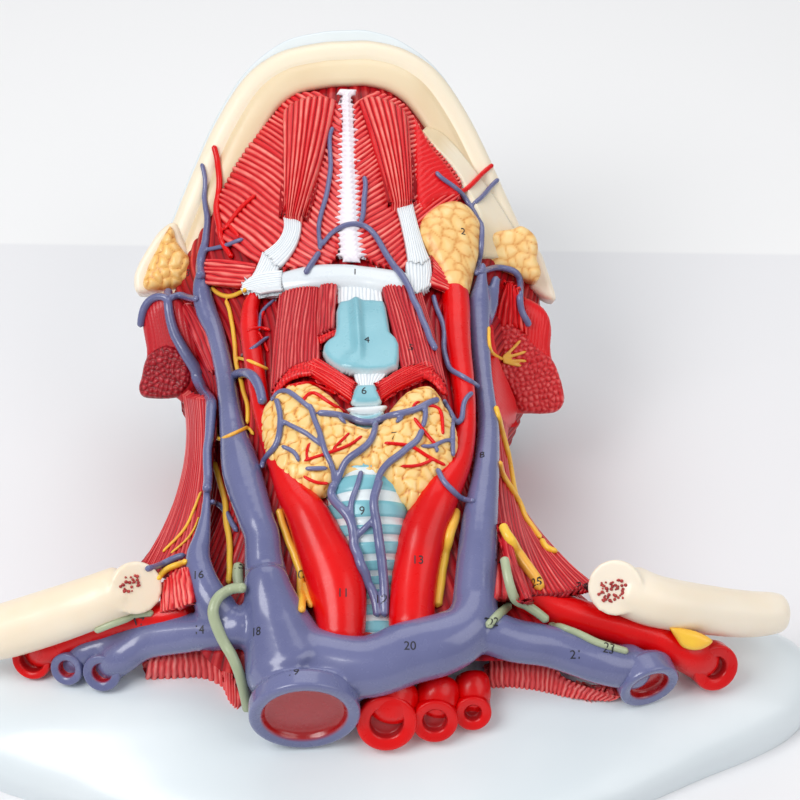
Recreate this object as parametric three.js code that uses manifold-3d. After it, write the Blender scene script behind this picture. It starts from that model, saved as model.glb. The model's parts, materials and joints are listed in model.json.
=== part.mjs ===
// Anatomical model of the front of the neck, life size, lying on its flat back.
// X runs across, Y from the chest towards the chin, Z up from the table.
// The origin is the middle of the footprint, on the table.
import * as THREE from 'three';
import { mergeVertices } from 'three/addons/utils/BufferGeometryUtils.js';
import Module from 'manifold-3d';

const wasm = await Module();
wasm.setup();

// Driving dimensions in millimetres. Places on the neck are shares of the first three:
// u across (the wearer's left is positive), v along (0 at the cut of the great vein), h up.
const halfNeck = 50;
const neckLength = 200;
const chinHeight = 92;
const flankFoot = 8; // height at which the sides of the neck end
const fitGap = 0.3; // between neighbouring pieces
const cutOverrun = 2; // by which a cutting shape passes the face that it opens
const layerDepth = 5.5; // from the surface of the neck down to the core
const patchDepth = 6.5; // of a muscle before the core trims its underside

// Skin line of the neck: height of its ridge and width of each flank, along v
const ridgeHeightShares = [[-0.1, 0.13], [0, 0.326], [0.05, 0.37], [0.1, 0.413], [0.15, 0.467],
  [0.2, 0.533],
  [0.25, 0.587], [0.3, 0.63], [0.35, 0.663], [0.4, 0.674], [0.45, 0.685], [0.5, 0.685], [0.555, 0.696],
  [0.65, 0.772], [0.75, 0.859], [0.825, 0.924], [0.89, 0.978], [0.95, 1]];
const rightFlankShares = [[-0.1, 1.6], [0, 1.6], [0.05, 1.56], [0.1, 1.4], [0.15, 1.2], [0.2, 1.06],
  [0.25, 0.96],
  [0.3, 0.92], [0.35, 0.9], [0.45, 0.9], [0.5, 0.92], [0.55, 1], [0.6, 1.14], [0.65, 1.2], [0.75, 1.08],
  [0.825, 0.9], [0.89, 0.72], [0.95, 0.5]];
const leftFlankShares = [[-0.1, 1.6], [0, 1.6], [0.05, 1.56], [0.1, 1.36], [0.15, 1.12], [0.2, 0.96],
  [0.25, 0.84],
  [0.3, 0.8], [0.35, 0.78], [0.45, 0.8], [0.5, 0.84], [0.55, 0.96], [0.6, 1.08], [0.65, 1.12],
  [0.75, 1.02],
  [0.825, 0.88], [0.89, 0.72], [0.95, 0.5]];
const flankRoundness = 2.4; // power of the rounded section
const slopeStepShare = 0.01;

// Smooth curve through a table of [place, value]
function valueAt(table, at) {
  const last = table.length - 1;
  if (at <= table[0][0]) return table[0][1];
  if (at >= table[last][0]) return table[last][1];
  const i = table.findIndex(([place]) => place > at) - 1;
  const slope = (k) => {
    const [placeBefore, valueBefore] = table[Math.max(k - 1, 0)];
    const [placeAfter, valueAfter] = table[Math.min(k + 1, last)];
    return (valueAfter - valueBefore) / (placeAfter - placeBefore);
  };
  const span = table[i + 1][0] - table[i][0];
  const t = (at - table[i][0]) / span;
  const s = 1 - t;
  return table[i][1] * s * s * (1 + 2 * t) + table[i + 1][1] * t * t * (3 - 2 * t)
    + span * t * s * (slope(i) * s - slope(i + 1) * t);
}

// The surface of the neck
const riseAt = (v) => chinHeight * valueAt(ridgeHeightShares, v) - flankFoot;
const flankAt = (u, v) => halfNeck * valueAt(u < 0 ? rightFlankShares : leftFlankShares, v);
const slopeOf = (measure, v) => (measure(v + slopeStepShare) - measure(v - slopeStepShare))
  / (2 * slopeStepShare * neckLength);

function neckPlace(u, v, lift = 0) {
  const power = flankRoundness;
  const rise = riseAt(v);
  const flank = flankAt(u, v);
  const across = Math.min(Math.abs(u) * halfNeck / flank, 1);
  const up = (1 - across ** power) ** (1 / power);
  const lean = across ** power * slopeOf((place) => flankAt(u, place), v) / flank
    + up ** power * slopeOf(riseAt, v) / rise;
  const outward = Math.sign(u) * across ** (power - 1) / flank;
  const normal = new THREE.Vector3(outward, -lean, up ** (power - 1) / rise);
  return new THREE.Vector3(u * halfNeck, v * neckLength, flankFoot + rise * up)
    .addScaledVector(normal.normalize(), lift);
}

// Turn about the neck's length of a place, and back: even turns give even faces on the flanks
const turnOf = (u, v) => Math.sign(u)
  * Math.asin(Math.min(Math.abs(u) * halfNeck / flankAt(u, v), 1) ** (flankRoundness / 2));
const shareOfTurn = (turn, v) => Math.sign(turn) * Math.abs(Math.sin(turn)) ** (2 / flankRoundness)
  * flankAt(turn, v) / halfNeck;

const freePlace = ([u, v, h]) => new THREE.Vector3(u * halfNeck, v * neckLength, h * chinHeight);

// Closed solids
function solidOf(points, triangles) {
  let geometry = new THREE.BufferGeometry();
  const numbers = points.flatMap((point) => point.toArray());
  geometry.setAttribute('position', new THREE.Float32BufferAttribute(numbers, 3));
  geometry.setIndex(triangles);
  geometry = mergeVertices(geometry);
  const indexed = geometry.getIndex().array;
  const kept = [];
  for (let i = 0; i < indexed.length; i += 3) {
    const [a, b, c] = indexed.slice(i, i + 3);
    if (a !== b && b !== c && c !== a) kept.push(a, b, c);
  }
  const solid = new wasm.Manifold(new wasm.Mesh({
    numProp: 3,
    vertProperties: new Float32Array(geometry.getAttribute('position').array),
    triVerts: new Uint32Array(kept),
  }));
  if (solid.volume() >= 0) return solid;
  return solidOf(points, triangles.slice().reverse());
}

// Rings of equal counts joined one to the next, each end closed to its middle
function ringSolid(rings) {
  const count = rings[0].length;
  const points = rings.flat();
  const triangles = [];
  for (let ring = 0; ring + 1 < rings.length; ring += 1) {
    for (let i = 0; i < count; i += 1) {
      const a = ring * count + i;
      const b = ring * count + (i + 1) % count;
      triangles.push(a, b, b + count, a, b + count, a + count);
    }
  }
  for (const [ring, from, to] of [[0, 1, 0], [rings.length - 1, 0, 1]]) {
    const middle = rings[ring].reduce((sum, p) => sum.add(p), new THREE.Vector3()).divideScalar(count);
    points.push(middle);
    for (let i = 0; i < count; i += 1) {
      const base = ring * count;
      triangles.push(base + (i + from) % count, base + (i + to) % count, points.length - 1);
    }
  }
  return solidOf(points, triangles);
}

// Two sheets of the same rows and columns, closed round their rims
function sheetSolid(topRows, underRows) {
  const rows = topRows.length;
  const columns = topRows[0].length;
  const points = [...topRows.flat(), ...underRows.flat()];
  const under = rows * columns;
  const triangles = [];
  const addFace = (a, b, c, d) => triangles.push(a, b, c, a, c, d);
  for (let row = 0; row + 1 < rows; row += 1) {
    for (let column = 0; column + 1 < columns; column += 1) {
      const a = row * columns + column;
      addFace(a, a + 1, a + columns + 1, a + columns);
      addFace(under + a + columns, under + a + columns + 1, under + a + 1, under + a);
    }
  }
  const rim = [];
  for (let column = 0; column < columns; column += 1) rim.push(column);
  for (let row = 1; row < rows; row += 1) rim.push(row * columns + columns - 1);
  for (let column = columns - 2; column >= 0; column -= 1) rim.push((rows - 1) * columns + column);
  for (let row = rows - 2; row > 0; row -= 1) rim.push(row * columns);
  rim.forEach((a, i) => {
    const b = rim[(i + 1) % rim.length];
    addFace(b, a, under + a, under + b);
  });
  return solidOf(points, triangles);
}

// A round or flattened rod through places, with a radius at each. Its first end is cut square,
// or slanting so that the cut faces a given way.
function rodSolid(places, radii, { sides = 8, steps = 1, flatness = 1, mouthFacing }, grow) {
  const curve = new THREE.CatmullRomCurve3(places, false, 'centripetal');
  const total = (places.length - 1) * steps;
  const spans = radii.map((radius, i) => [i, radius]);
  const rings = [];
  const sideways = new THREE.Vector3();
  for (let step = 0; step <= total; step += 1) {
    const tangent = curve.getTangent(step / total);
    if (step === 0) sideways.crossVectors(tangent, new THREE.Vector3(0, 0, 1));
    sideways.addScaledVector(tangent, -sideways.dot(tangent)).normalize();
    const upward = new THREE.Vector3().crossVectors(sideways, tangent);
    const endward = step === 0 ? -grow : Number(step === total) * grow;
    const middle = curve.getPoint(step / total).addScaledVector(tangent, endward);
    const radius = valueAt(spans, step / steps);
    rings.push(Array.from({ length: sides }, (_, i) => {
      const angle = (i + 1 / 2) / sides * 2 * Math.PI;
      return middle.clone()
        .addScaledVector(sideways, Math.cos(angle) * (radius + grow))
        .addScaledVector(upward, Math.sin(angle) * (radius * flatness + grow));
    }));
  }
  if (mouthFacing) slantRing(rings[0], curve, new THREE.Vector3(...mouthFacing));
  return ringSolid(rings);
}

// Slides a curve's first ring along the curve onto the plane that faces the given way
function slantRing(ring, curve, facing) {
  const middle = curve.getPoint(0);
  const along = curve.getTangent(0);
  for (const point of ring) {
    const proud = point.clone().sub(middle).dot(facing) / along.dot(facing);
    point.addScaledVector(along, -proud);
  }
}

// A vessel, nerve or duct along the neck. A route's rows are [u, v, radius share, lift in radii],
// and a free route's rows are [u, v, h, radius share]; the free part follows the part on the neck.
function routeSolid({ radius, route = [], freeRoute = [], lift = 0, ...shape }, grow) {
  const places = [
    ...route.map(([u, v, , liftShare = lift]) => neckPlace(u, v, liftShare * radius)),
    ...freeRoute.map(freePlace),
  ];
  const radii = [...route.map((row) => row[2] ?? 1), ...freeRoute.map((row) => row[3] ?? 1)];
  return rodSolid(places, radii.map((share) => share * radius), shape, grow);
}

// A patch of the neck's surface between two edges, crowned across, along, or both ways
const crowned = (t) => Math.sqrt(Math.max(4 * t * (1 - t), 0));
const mix = THREE.MathUtils.lerp;

function patchSolid(patch, grow) {
  const { from, to, rightEdge, leftEdge, rows = 6, columns = 4 } = patch;
  const { crown = 0, rim = 0, depth = patchDepth, across = 1, along = 0 } = patch;
  const sheet = (liftAt) => Array.from({ length: rows + 1 }, (_, row) => {
    const v = mix(from - grow / neckLength, to + grow / neckLength, row / rows);
    const start = turnOf(valueAt(rightEdge, v) - grow / halfNeck, v);
    const end = turnOf(valueAt(leftEdge, v) + grow / halfNeck, v);
    return Array.from({ length: columns + 1 }, (__, column) => neckPlace(
      shareOfTurn(mix(start, end, column / columns), v),
      v,
      liftAt(crowned(column / columns) ** across * crowned(row / rows) ** along),
    ));
  });
  return sheetSolid(sheet((swell) => rim + crown * swell + grow), sheet(() => -depth - grow));
}

const joined = (solids) => solids.reduce((whole, solid) => whole.add(solid));

// The shell that the model stands on: a shield under the chest that narrows under the neck
const shell = {
  rimHeight: 3,
  wall: 3,
  rows: 14,
  columns: 10,
  rowCrowding: 1.5, // power that draws the rows together at the foot
  fromShare: -0.11,
  toShare: 0.52,
  roundness: 2.6,
  halfWidthShares: [[-0.11, 0.26], [-0.105, 0.56], [-0.09, 0.84], [-0.07, 1.08], [-0.05, 1.26],
    [-0.025, 1.48],
    [0, 1.72], [0.025, 1.9], [0.05, 2], [0.09, 2.08], [0.13, 2.08], [0.16, 1.98], [0.19, 1.64],
    [0.21, 1.28],
    [0.24, 0.94], [0.28, 0.76], [0.34, 0.7], [0.52, 0.7]],
  heightShares: [[-0.11, 0.01], [-0.1, 0.045], [-0.085, 0.065], [-0.06, 0.085], [-0.03, 0.105],
    [0, 0.13],
    [0.03, 0.158], [0.06, 0.172], [0.1, 0.18], [0.13, 0.185], [0.16, 0.17], [0.2, 0.12], [0.25, 0.07],
    [0.3, 0.045],
    [0.52, 0.045]],
};

const shellHalfWidth = (v) => halfNeck * valueAt(shell.halfWidthShares, v);
const shellHeight = (x, v, inset = 0) => {
  const across = Math.min(Math.abs(x) / (shellHalfWidth(v) - inset), 1);
  const domed = (1 - across ** shell.roundness) ** (1 / shell.roundness);
  return shell.rimHeight + chinHeight * valueAt(shell.heightShares, v) * domed;
};

// Rows of the shell's plan, drawn in by an inset, at heights that the caller gives
function shellRows(inset, heightAt, columns = 1) {
  const from = shell.fromShare + inset / neckLength;
  const to = shell.toShare - inset / neckLength;
  return Array.from({ length: shell.rows + 1 }, (_, row) => {
    const v = mix(from, to, (row / shell.rows) ** shell.rowCrowding);
    const reach = shellHalfWidth(v) - inset;
    return Array.from({ length: columns + 1 }, (__, column) => {
      const x = -reach * Math.cos(Math.PI * column / columns);
      return new THREE.Vector3(x, v * neckLength, heightAt(x, v));
    });
  });
}

const cover = { thickness: 3, edge: 4, ledge: 3 };

function shellSolid(grow) {
  const outside = sheetSolid(
    shellRows(-grow, (x, v) => shellHeight(x, v, -grow) + grow, shell.columns),
    shellRows(-grow, () => -grow, shell.columns),
  );
  if (grow > 0) return outside;
  const recess = sheetSolid(
    shellRows(cover.edge, () => cover.thickness + fitGap),
    shellRows(cover.edge, () => -cutOverrun),
  );
  const hollow = sheetSolid(
    shellRows(cover.edge + cover.ledge, (x, v) => shellHeight(x, v) - shell.wall, shell.columns),
    shellRows(cover.edge + cover.ledge, () => 0, shell.columns),
  );
  return outside.subtract(recess).subtract(hollow);
}

const coverSolid = (grow) => sheetSolid(
  shellRows(cover.edge + fitGap - grow, () => cover.thickness + grow),
  shellRows(cover.edge + fitGap - grow, () => -grow),
);

// Lower jaw: a bar round the mouth in a leaning plane, closed behind by a plate
const jaw = {
  origin: [0, 0.825, 0.935],
  lean: 0.774, // angle of the jaw's plane from the table, in radians
  depthSlope: 0.527, // angle down from level of the way the bar runs to the plate, in radians
  depth: 20,
  thickness: 12.5,
  edgeRound: 3.5,
  bodyShares: [[-1.1, -1.06], [-0.98, -0.78], [-0.84, -0.46], [-0.7, -0.18], [-0.54, 0.05],
    [-0.36, 0.17],
    [-0.14, 0.215], [0, 0.22], [0.14, 0.215], [0.32, 0.16], [0.48, 0.04], [0.61, -0.16], [0.72, -0.4],
    [0.86, -0.76], [1.0, -1.1]],
};
const jawPlate = { thickness: 7, rim: 3, chinRim: 1.6, round: 2, footHalfWidth: 34, waistShare: 0.45 };

const jawAcross = new THREE.Vector3(1, 0, 0);
const jawUp = new THREE.Vector3(0, Math.cos(jaw.lean), Math.sin(jaw.lean));
const jawBack = new THREE.Vector3(0, Math.cos(jaw.depthSlope), -Math.sin(jaw.depthSlope));
const jawPlace = (across, up, back) => freePlace(jaw.origin)
  .addScaledVector(jawAcross, across)
  .addScaledVector(jawUp, up)
  .addScaledVector(jawBack, back);

// Points of the bar's outer line moved outwards, with the outward direction at each
function jawLine(samples) {
  const line = new THREE.CatmullRomCurve3(
    jaw.bodyShares.map(([across, up]) => new THREE.Vector3(across * halfNeck, up * halfNeck, 0)),
    false,
    'centripetal',
  );
  return Array.from({ length: samples + 1 }, (_, i) => {
    const tangent = line.getTangentAt(i / samples);
    return { point: line.getPointAt(i / samples), outward: new THREE.Vector3(-tangent.y, tangent.x, 0) };
  });
}

function mandibleSolid(grow) {
  const { thickness, depth, edgeRound } = jaw;
  const corner = edgeRound * (1 - Math.SQRT1_2);
  const section = [
    [-thickness - grow, edgeRound / 2 - grow], [-thickness + corner - grow, -grow],
    [-thickness / 2, -grow],
    [-edgeRound, -grow], [-corner + grow, corner - grow], [grow, edgeRound], [grow, depth + grow],
    [-thickness - grow, depth + grow],
  ];
  return ringSolid(jawLine(18).map(({ point, outward }) => section.map(([out, back]) => {
    const at = point.clone().addScaledVector(outward, out);
    return jawPlace(at.x, at.y, back);
  })));
}

function jawPlateSolid(grow) {
  const line = jawLine(16);
  const front = jaw.depth + fitGap - grow;
  const back = jaw.depth + fitGap + jawPlate.thickness + grow;
  const ring = (reach, depth) => {
    const arch = line.map(({ point, outward }) => {
      const chinward = Math.max(outward.y, 0) ** 3 * jawPlate.chinRim;
      const at = point.clone().addScaledVector(outward, reach + chinward + grow);
      return jawPlace(at.x, at.y, depth);
    });
    const level = jawPlace(0, 0, depth);
    const foot = level.clone().addScaledVector(jawUp, -(level.z + grow) / jawUp.z);
    const footAt = (side) => new THREE.Vector3(side * (jawPlate.footHalfWidth + grow), foot.y, foot.z);
    const waistAt = (side, end) => footAt(side).lerp(arch.at(end), jawPlate.waistShare);
    return [footAt(-1), waistAt(-1, 0), ...arch, waistAt(1, -1), footAt(1)];
  };
  return ringSolid([
    ring(-jawPlate.rim, front),
    ring(jawPlate.rim - jawPlate.round, front),
    ring(jawPlate.rim, front + jawPlate.round),
    ring(jawPlate.rim, back - jawPlate.round),
    ring(jawPlate.rim - jawPlate.round, back),
  ]);
}

// Everything past the plate's front face, cut away from the core
function pastPlateSolid() {
  const far = 2 * neckLength;
  const sheet = (depth) => [-neckLength, neckLength]
    .map((up) => [-neckLength, neckLength].map((across) => jawPlace(across, up, depth)));
  return sheetSolid(sheet(jaw.depth), sheet(far));
}

// The core that fills the neck under its muscles
const core = { fromShare: 0.1, toShare: 0.95, rows: 13, columns: 10, foot: 2 };

function coreSolid(grow) {
  const rowAt = (row) => mix(core.fromShare - grow / neckLength, core.toShare, row / core.rows);
  const top = Array.from({ length: core.rows + 1 }, (_, row) => Array.from(
    { length: core.columns + 1 },
    (__, column) => {
      const v = rowAt(row);
      const turn = mix(-Math.PI / 2, Math.PI / 2, column / core.columns);
      return neckPlace(shareOfTurn(turn, v), v, grow - layerDepth);
    },
  ));
  const under = top.map((row) => row.map((p) => new THREE.Vector3(p.x, p.y, core.foot - grow)));
  return sheetSolid(top, under).subtract(pastPlateSolid());
}

// Great vein: the cut superior vena cava with both trunks that join it
const greatVein = {
  radius: 11.2,
  lumen: 8.4,
  lumenDepth: 7,
  mouthFacing: [0, -0.98, -0.19],
  cavaFree: [[-0.35, -0.012, 0.262, 1], [-0.36, 0.012, 0.278, 1], [-0.43, 0.032, 0.335, 0.95],
    [-0.5, 0.062, 0.375, 0.8], [-0.535, 0.09, 0.4, 0.66], [-0.525, 0.112, 0.412, 0.48]],
  trunkRadius: 5.7,
  trunkRoute: [[-0.4, 0.04, 1.15, 0.1], [-0.1, 0.022, 1, 0.1], [0.14, 0.042, 1, 0.1],
    [0.3, 0.057, 1, 0.1],
    [0.45, 0.065, 1.05, 0.1], [0.55, 0.075, 1, 0.1]],
};

function greatVeinSolid(grow) {
  const { radius, lumen, lumenDepth, mouthFacing, cavaFree, trunkRadius, trunkRoute } = greatVein;
  const cava = routeSolid({ radius, mouthFacing, freeRoute: cavaFree, sides: 12 }, grow);
  const trunk = routeSolid({ radius: trunkRadius, route: trunkRoute, sides: 8 }, grow);
  const whole = cava.add(trunk);
  return grow > 0 ? whole : whole.subtract(boreSolid(cavaFree, lumen, lumenDepth));
}

// A blind bore into the cut end of a vessel, along its first span
function boreSolid(freeRoute, radius, depth) {
  const mouth = freePlace(freeRoute[0]);
  const inward = freePlace(freeRoute[1]).sub(mouth).normalize();
  const places = [-radius - cutOverrun, depth].map((reach) => mouth.clone().addScaledVector(inward, reach));
  return rodSolid(places, [radius, radius], { sides: 10 }, 0);
}

function boredVesselSolid({ lumen, lumenDepth, branches = [], ...vessel }, grow) {
  const whole = joined([vessel, ...branches].map((part) => routeSolid(part, grow)));
  if (grow > 0) return whole;
  return [vessel, ...branches].reduce(
    (open, part) => open.subtract(boreSolid(part.freeRoute, lumen, lumenDepth)),
    whole,
  );
}

const subclavianVeinRight = {
  radius: 4.8,
  lumen: 2,
  lumenDepth: 3,
  mouthFacing: [-0.3, -0.85, 0.4],
  freeRoute: [[-1.47, 0.094, 0.216, 0.75], [-1.448, 0.109, 0.225, 0.72], [-1.36, 0.114, 0.252, 0.72],
    [-1.2, 0.11, 0.293, 0.8], [-1, 0.098, 0.34, 1], [-0.8, 0.094, 0.375, 1], [-0.62, 0.09, 0.395, 1]],
  branches: [{ radius: 4.2, mouthFacing: [-0.2, -0.88, 0.4], freeRoute: [[-1.27, 0.085, 0.216, 0.95],
    [-1.255, 0.1, 0.224, 0.92], [-1.18, 0.102, 0.255, 0.95], [-0.98, 0.1, 0.335, 0.95]] }],
};
const subclavianVeinLeft = {
  radius: 5.2,
  lumen: 3.5,
  lumenDepth: 5,
  mouthFacing: [0.45, -0.89, 0],
  freeRoute: [[1.27, 0.024, 0.222, 1.06], [1.14, 0.033, 0.248, 1], [1.02, 0.04, 0.272, 0.95],
    [0.82, 0.055, 0.32, 0.95], [0.6, 0.07, 0.362, 1]],
};
const subclavianArteryRight = {
  radius: 4.4,
  lumen: 2.6,
  lumenDepth: 3,
  mouthFacing: [-0.25, -0.88, 0.4],
  freeRoute: [[-1.6, 0.112, 0.226, 1.05], [-1.585, 0.128, 0.236, 1], [-1.49, 0.14, 0.266, 1],
    [-1.31, 0.144, 0.3, 1], [-1.1, 0.14, 0.34, 0.9], [-0.9, 0.14, 0.37, 0.8]],
};
const subclavianArteryLeft = {
  radius: 4.8,
  lumen: 2.8,
  lumenDepth: 3,
  mouthFacing: [0.25, -0.88, 0.4],
  freeRoute: [[1.53, 0.054, 0.226, 1.06], [1.515, 0.07, 0.236, 1], [1.42, 0.078, 0.264, 0.95],
    [1.15, 0.075, 0.312, 0.9], [0.96, 0.082, 0.34, 0.85], [0.78, 0.095, 0.37, 0.8],
    [0.64, 0.11, 0.39, 0.7]],
};
const archBranches = [
  { name: 'arch_artery_first', radius: 5.5, lumen: 3.5, freeRoute: [[0.005, -0.018, 0.238, 1],
    [0.01, 0.008, 0.23, 1],
    [0.02, 0.028, 0.25, 0.95], [0.02, 0.05, 0.27, 0.8]] },
  { name: 'arch_artery_second', radius: 4.9, lumen: 3, freeRoute: [[0.24, -0.014, 0.228, 1],
    [0.25, 0.008, 0.222, 1],
    [0.26, 0.028, 0.245, 0.95], [0.25, 0.055, 0.275, 0.8]] },
  { name: 'arch_artery_third', radius: 4, lumen: 2.2, freeRoute: [[0.415, -0.003, 0.22, 1],
    [0.42, 0.018, 0.22, 1],
    [0.42, 0.034, 0.25, 0.95], [0.4, 0.055, 0.28, 0.8]] },
].map((branch) => ({ lumenDepth: 6, mouthFacing: [0, -0.94, 0.34], ...branch }));

const jugularRight = {
  radius: 4.5,
  lift: 0.25,
  route: [[-0.525, 0.116, 1.1], [-0.515, 0.165, 1], [-0.52, 0.21, 0.95], [-0.54, 0.25, 0.95],
    [-0.59, 0.29, 0.95],
    [-0.63, 0.33, 0.92], [-0.655, 0.385, 0.95], [-0.65, 0.43, 0.75], [-0.68, 0.475, 0.62],
    [-0.72, 0.53, 0.62],
    [-0.78, 0.56, 0.62], [-0.82, 0.585, 0.62], [-0.81, 0.615, 0.62]],
};
const jugularLeft = {
  radius: 4.8,
  lift: 0.25,
  route: [[0.47, 0.085, 1.1], [0.48, 0.12, 1], [0.49, 0.16, 1], [0.51, 0.205, 0.95], [0.54, 0.25, 0.9],
    [0.56, 0.305, 0.82], [0.575, 0.35, 0.72], [0.585, 0.405, 0.63], [0.585, 0.45, 0.63],
    [0.575, 0.5, 0.65],
    [0.575, 0.545, 0.66], [0.62, 0.59, 0.62], [0.64, 0.61, 0.58]],
};
const externalJugular = {
  radius: 2.9,
  route: [[-0.8, 0.13, 1.1, 0.3], [-0.82, 0.17, 1, 0.4], [-0.82, 0.205, 0.9, 0.4],
    [-0.79, 0.27, 0.72, 0.4],
    [-0.78, 0.33, 0.68, 0.4], [-0.77, 0.395, 0.72, 0.4], [-0.75, 0.43, 0.75, 0.4],
    [-0.755, 0.455, 0.8, 0.5],
    [-0.81, 0.495, 0.85, 0.6], [-0.87, 0.535, 0.8, 1], [-0.94, 0.575, 0.75, 1.6]],
  freeRoute: [[-0.99, 0.622, 0.545, 0.75]],
};
const facialVeinRight = {
  radius: 1.7,
  sides: 6,
  route: [[-0.81, 0.632, 1.4, 1], [-0.77, 0.65, 1.2, 1.6]],
  freeRoute: [[-0.77, 0.69, 0.66, 1], [-0.78, 0.72, 0.725, 0.9], [-0.79, 0.755, 0.8, 0.8]],
};
const facialVeinLeft = {
  radius: 1.8,
  sides: 6,
  route: [[0.645, 0.625, 1.3, 0.8], [0.655, 0.65, 1, 1.4]],
  freeRoute: [[0.65, 0.685, 0.66, 1], [0.7, 0.705, 0.7, 0.95], [0.78, 0.73, 0.745, 0.85]],
};
const retromandibularVein = {
  radius: 2.2,
  freeRoute: [[0.665, 0.6, 0.635, 0.8], [0.75, 0.617, 0.605, 1], [0.84, 0.628, 0.565, 1],
    [0.85, 0.595, 0.54, 0.9],
    [0.87, 0.56, 0.5, 0.8]],
};
const anteriorJugular = {
  radius: 1.3,
  sides: 5,
  lift: 1.7,
  route: [[0.03, 0.615], [0.11, 0.592], [0.19, 0.565, 1, 2.4], [0.25, 0.53], [0.29, 0.49, 1, 2.2],
    [0.33, 0.45, 1, 2.2], [0.37, 0.41, 0.8, 2.2]],
  branches: [
    { radius: 1.3, sides: 5, lift: 1.7, route: [[0.065, 0.685], [0.05, 0.65], [0.035, 0.612]] },
    { radius: 1.3, sides: 5, lift: 1.7, route: [[0.04, 0.613], [-0.05, 0.617], [-0.15, 0.595],
      [-0.2, 0.57, 1, 2.6], [-0.27, 0.545, 1, 3]] },
    { radius: 1.3, sides: 5, lift: 1.7, route: [[-0.1, 0.765, 0.7, 2.6], [-0.11, 0.7, 1, 2.4],
      [-0.15, 0.65],
      [-0.18, 0.62], [-0.19, 0.582]] },
  ],
};
const thyroidVeins = {
  radius: 1.3,
  sides: 5,
  lift: 1.5,
  route: [[-0.19, 0.31, 0.8, 3.2], [-0.08, 0.303, 1, 2.6], [0.03, 0.3, 1, 2.4], [0.14, 0.308, 1, 3],
    [0.25, 0.315, 1, 3.6]],
  branches: [
    { radius: 1.3, sides: 5, lift: 1.4, route: [[0.03, 0.302, 1, 2.4], [0.02, 0.275, 1, 2.6],
      [-0.035, 0.258, 1, 2.6],
      [-0.14, 0.235, 1, 2.6], [-0.185, 0.212, 1, 1.6], [-0.15, 0.188], [-0.1, 0.175], [-0.085, 0.155],
      [-0.06, 0.13], [-0.015, 0.105], [0.03, 0.085]] },
    { radius: 1.3, sides: 5, lift: 1.4, route: [[0.25, 0.313, 1, 3.6], [0.26, 0.293, 1, 3.8],
      [0.2, 0.265, 1, 3.6],
      [0.11, 0.245, 1, 3], [0.03, 0.225, 1, 2], [0.01, 0.2], [0.015, 0.165], [0.02, 0.13],
      [0.03, 0.085]] },
  ],
};

const carotidLeft = {
  radius: 5,
  lift: -0.1,
  route: [[0.16, 0.06, 1], [0.17, 0.12, 1], [0.22, 0.17, 1.05], [0.31, 0.212, 1], [0.4, 0.25, 0.9],
    [0.445, 0.3, 0.8], [0.45, 0.38, 0.8], [0.46, 0.5, 0.8], [0.47, 0.55, 0.7]],
};
const carotidRight = {
  radius: 6.3,
  lift: 0,
  route: [[-0.15, 0.06, 1.02], [-0.14, 0.09, 1], [-0.2, 0.13, 0.85], [-0.3, 0.19, 0.72],
    [-0.4, 0.245, 0.6]],
};
const facialArteryRight = {
  radius: 1.6,
  sides: 6,
  route: [[-0.64, 0.605, 1.1, 1], [-0.69, 0.64, 1, 1.6]],
  freeRoute: [[-0.7, 0.685, 0.67, 1], [-0.71, 0.725, 0.74, 1], [-0.72, 0.77, 0.83, 1]],
};

// Windpipe and voice box
const trachea = {
  radius: 9.2,
  sides: 12,
  route: [[-0.015, 0.06, 0.95, -1.25], [-0.015, 0.12, 0.97, -1.2], [-0.015, 0.18, 1, -1.12],
    [-0.015, 0.24, 1, -1.05],
    [-0.01, 0.306, 0.95, -0.95]],
};
const cricoid = {
  radius: 9,
  sides: 12,
  route: [[-0.01, 0.31, 0.95, -0.9], [-0.01, 0.33, 1, -0.9], [-0.01, 0.349, 0.95, -0.9]],
};
const hyoid = {
  from: 0.535,
  to: 0.577,
  rightEdge: [[0.53, -0.5], [0.58, -0.5]],
  leftEdge: [[0.53, 0.37], [0.58, 0.37]],
  rows: 3,
  columns: 10,
  crown: 2.4,
  across: 0.4,
  along: 1,
};
const thyroidCartilage = {
  from: 0.373,
  to: 0.495,
  rightEdge: [[0.373, -0.17], [0.39, -0.2], [0.42, -0.2], [0.44, -0.15], [0.46, -0.12], [0.495, -0.12]],
  leftEdge: [[0.373, 0.15], [0.39, 0.18], [0.42, 0.18], [0.44, 0.13], [0.46, 0.12], [0.495, 0.1]],
  rows: 8,
  columns: 6,
  crown: 2.2,
  across: 1.6,
  along: 0.6,
};
const thyrohyoidMembrane = {
  from: 0.497,
  to: 0.533,
  rightEdge: [[0.49, -0.11], [0.54, -0.11]],
  leftEdge: [[0.49, 0.1], [0.54, 0.1]],
  rows: 2,
  crown: 0.8,
};
const cricothyroidLigament = {
  from: 0.351,
  to: 0.371,
  rightEdge: [[0.35, -0.06], [0.372, -0.09]],
  leftEdge: [[0.35, 0.05], [0.372, 0.07]],
  rows: 2,
  crown: 1,
};

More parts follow.
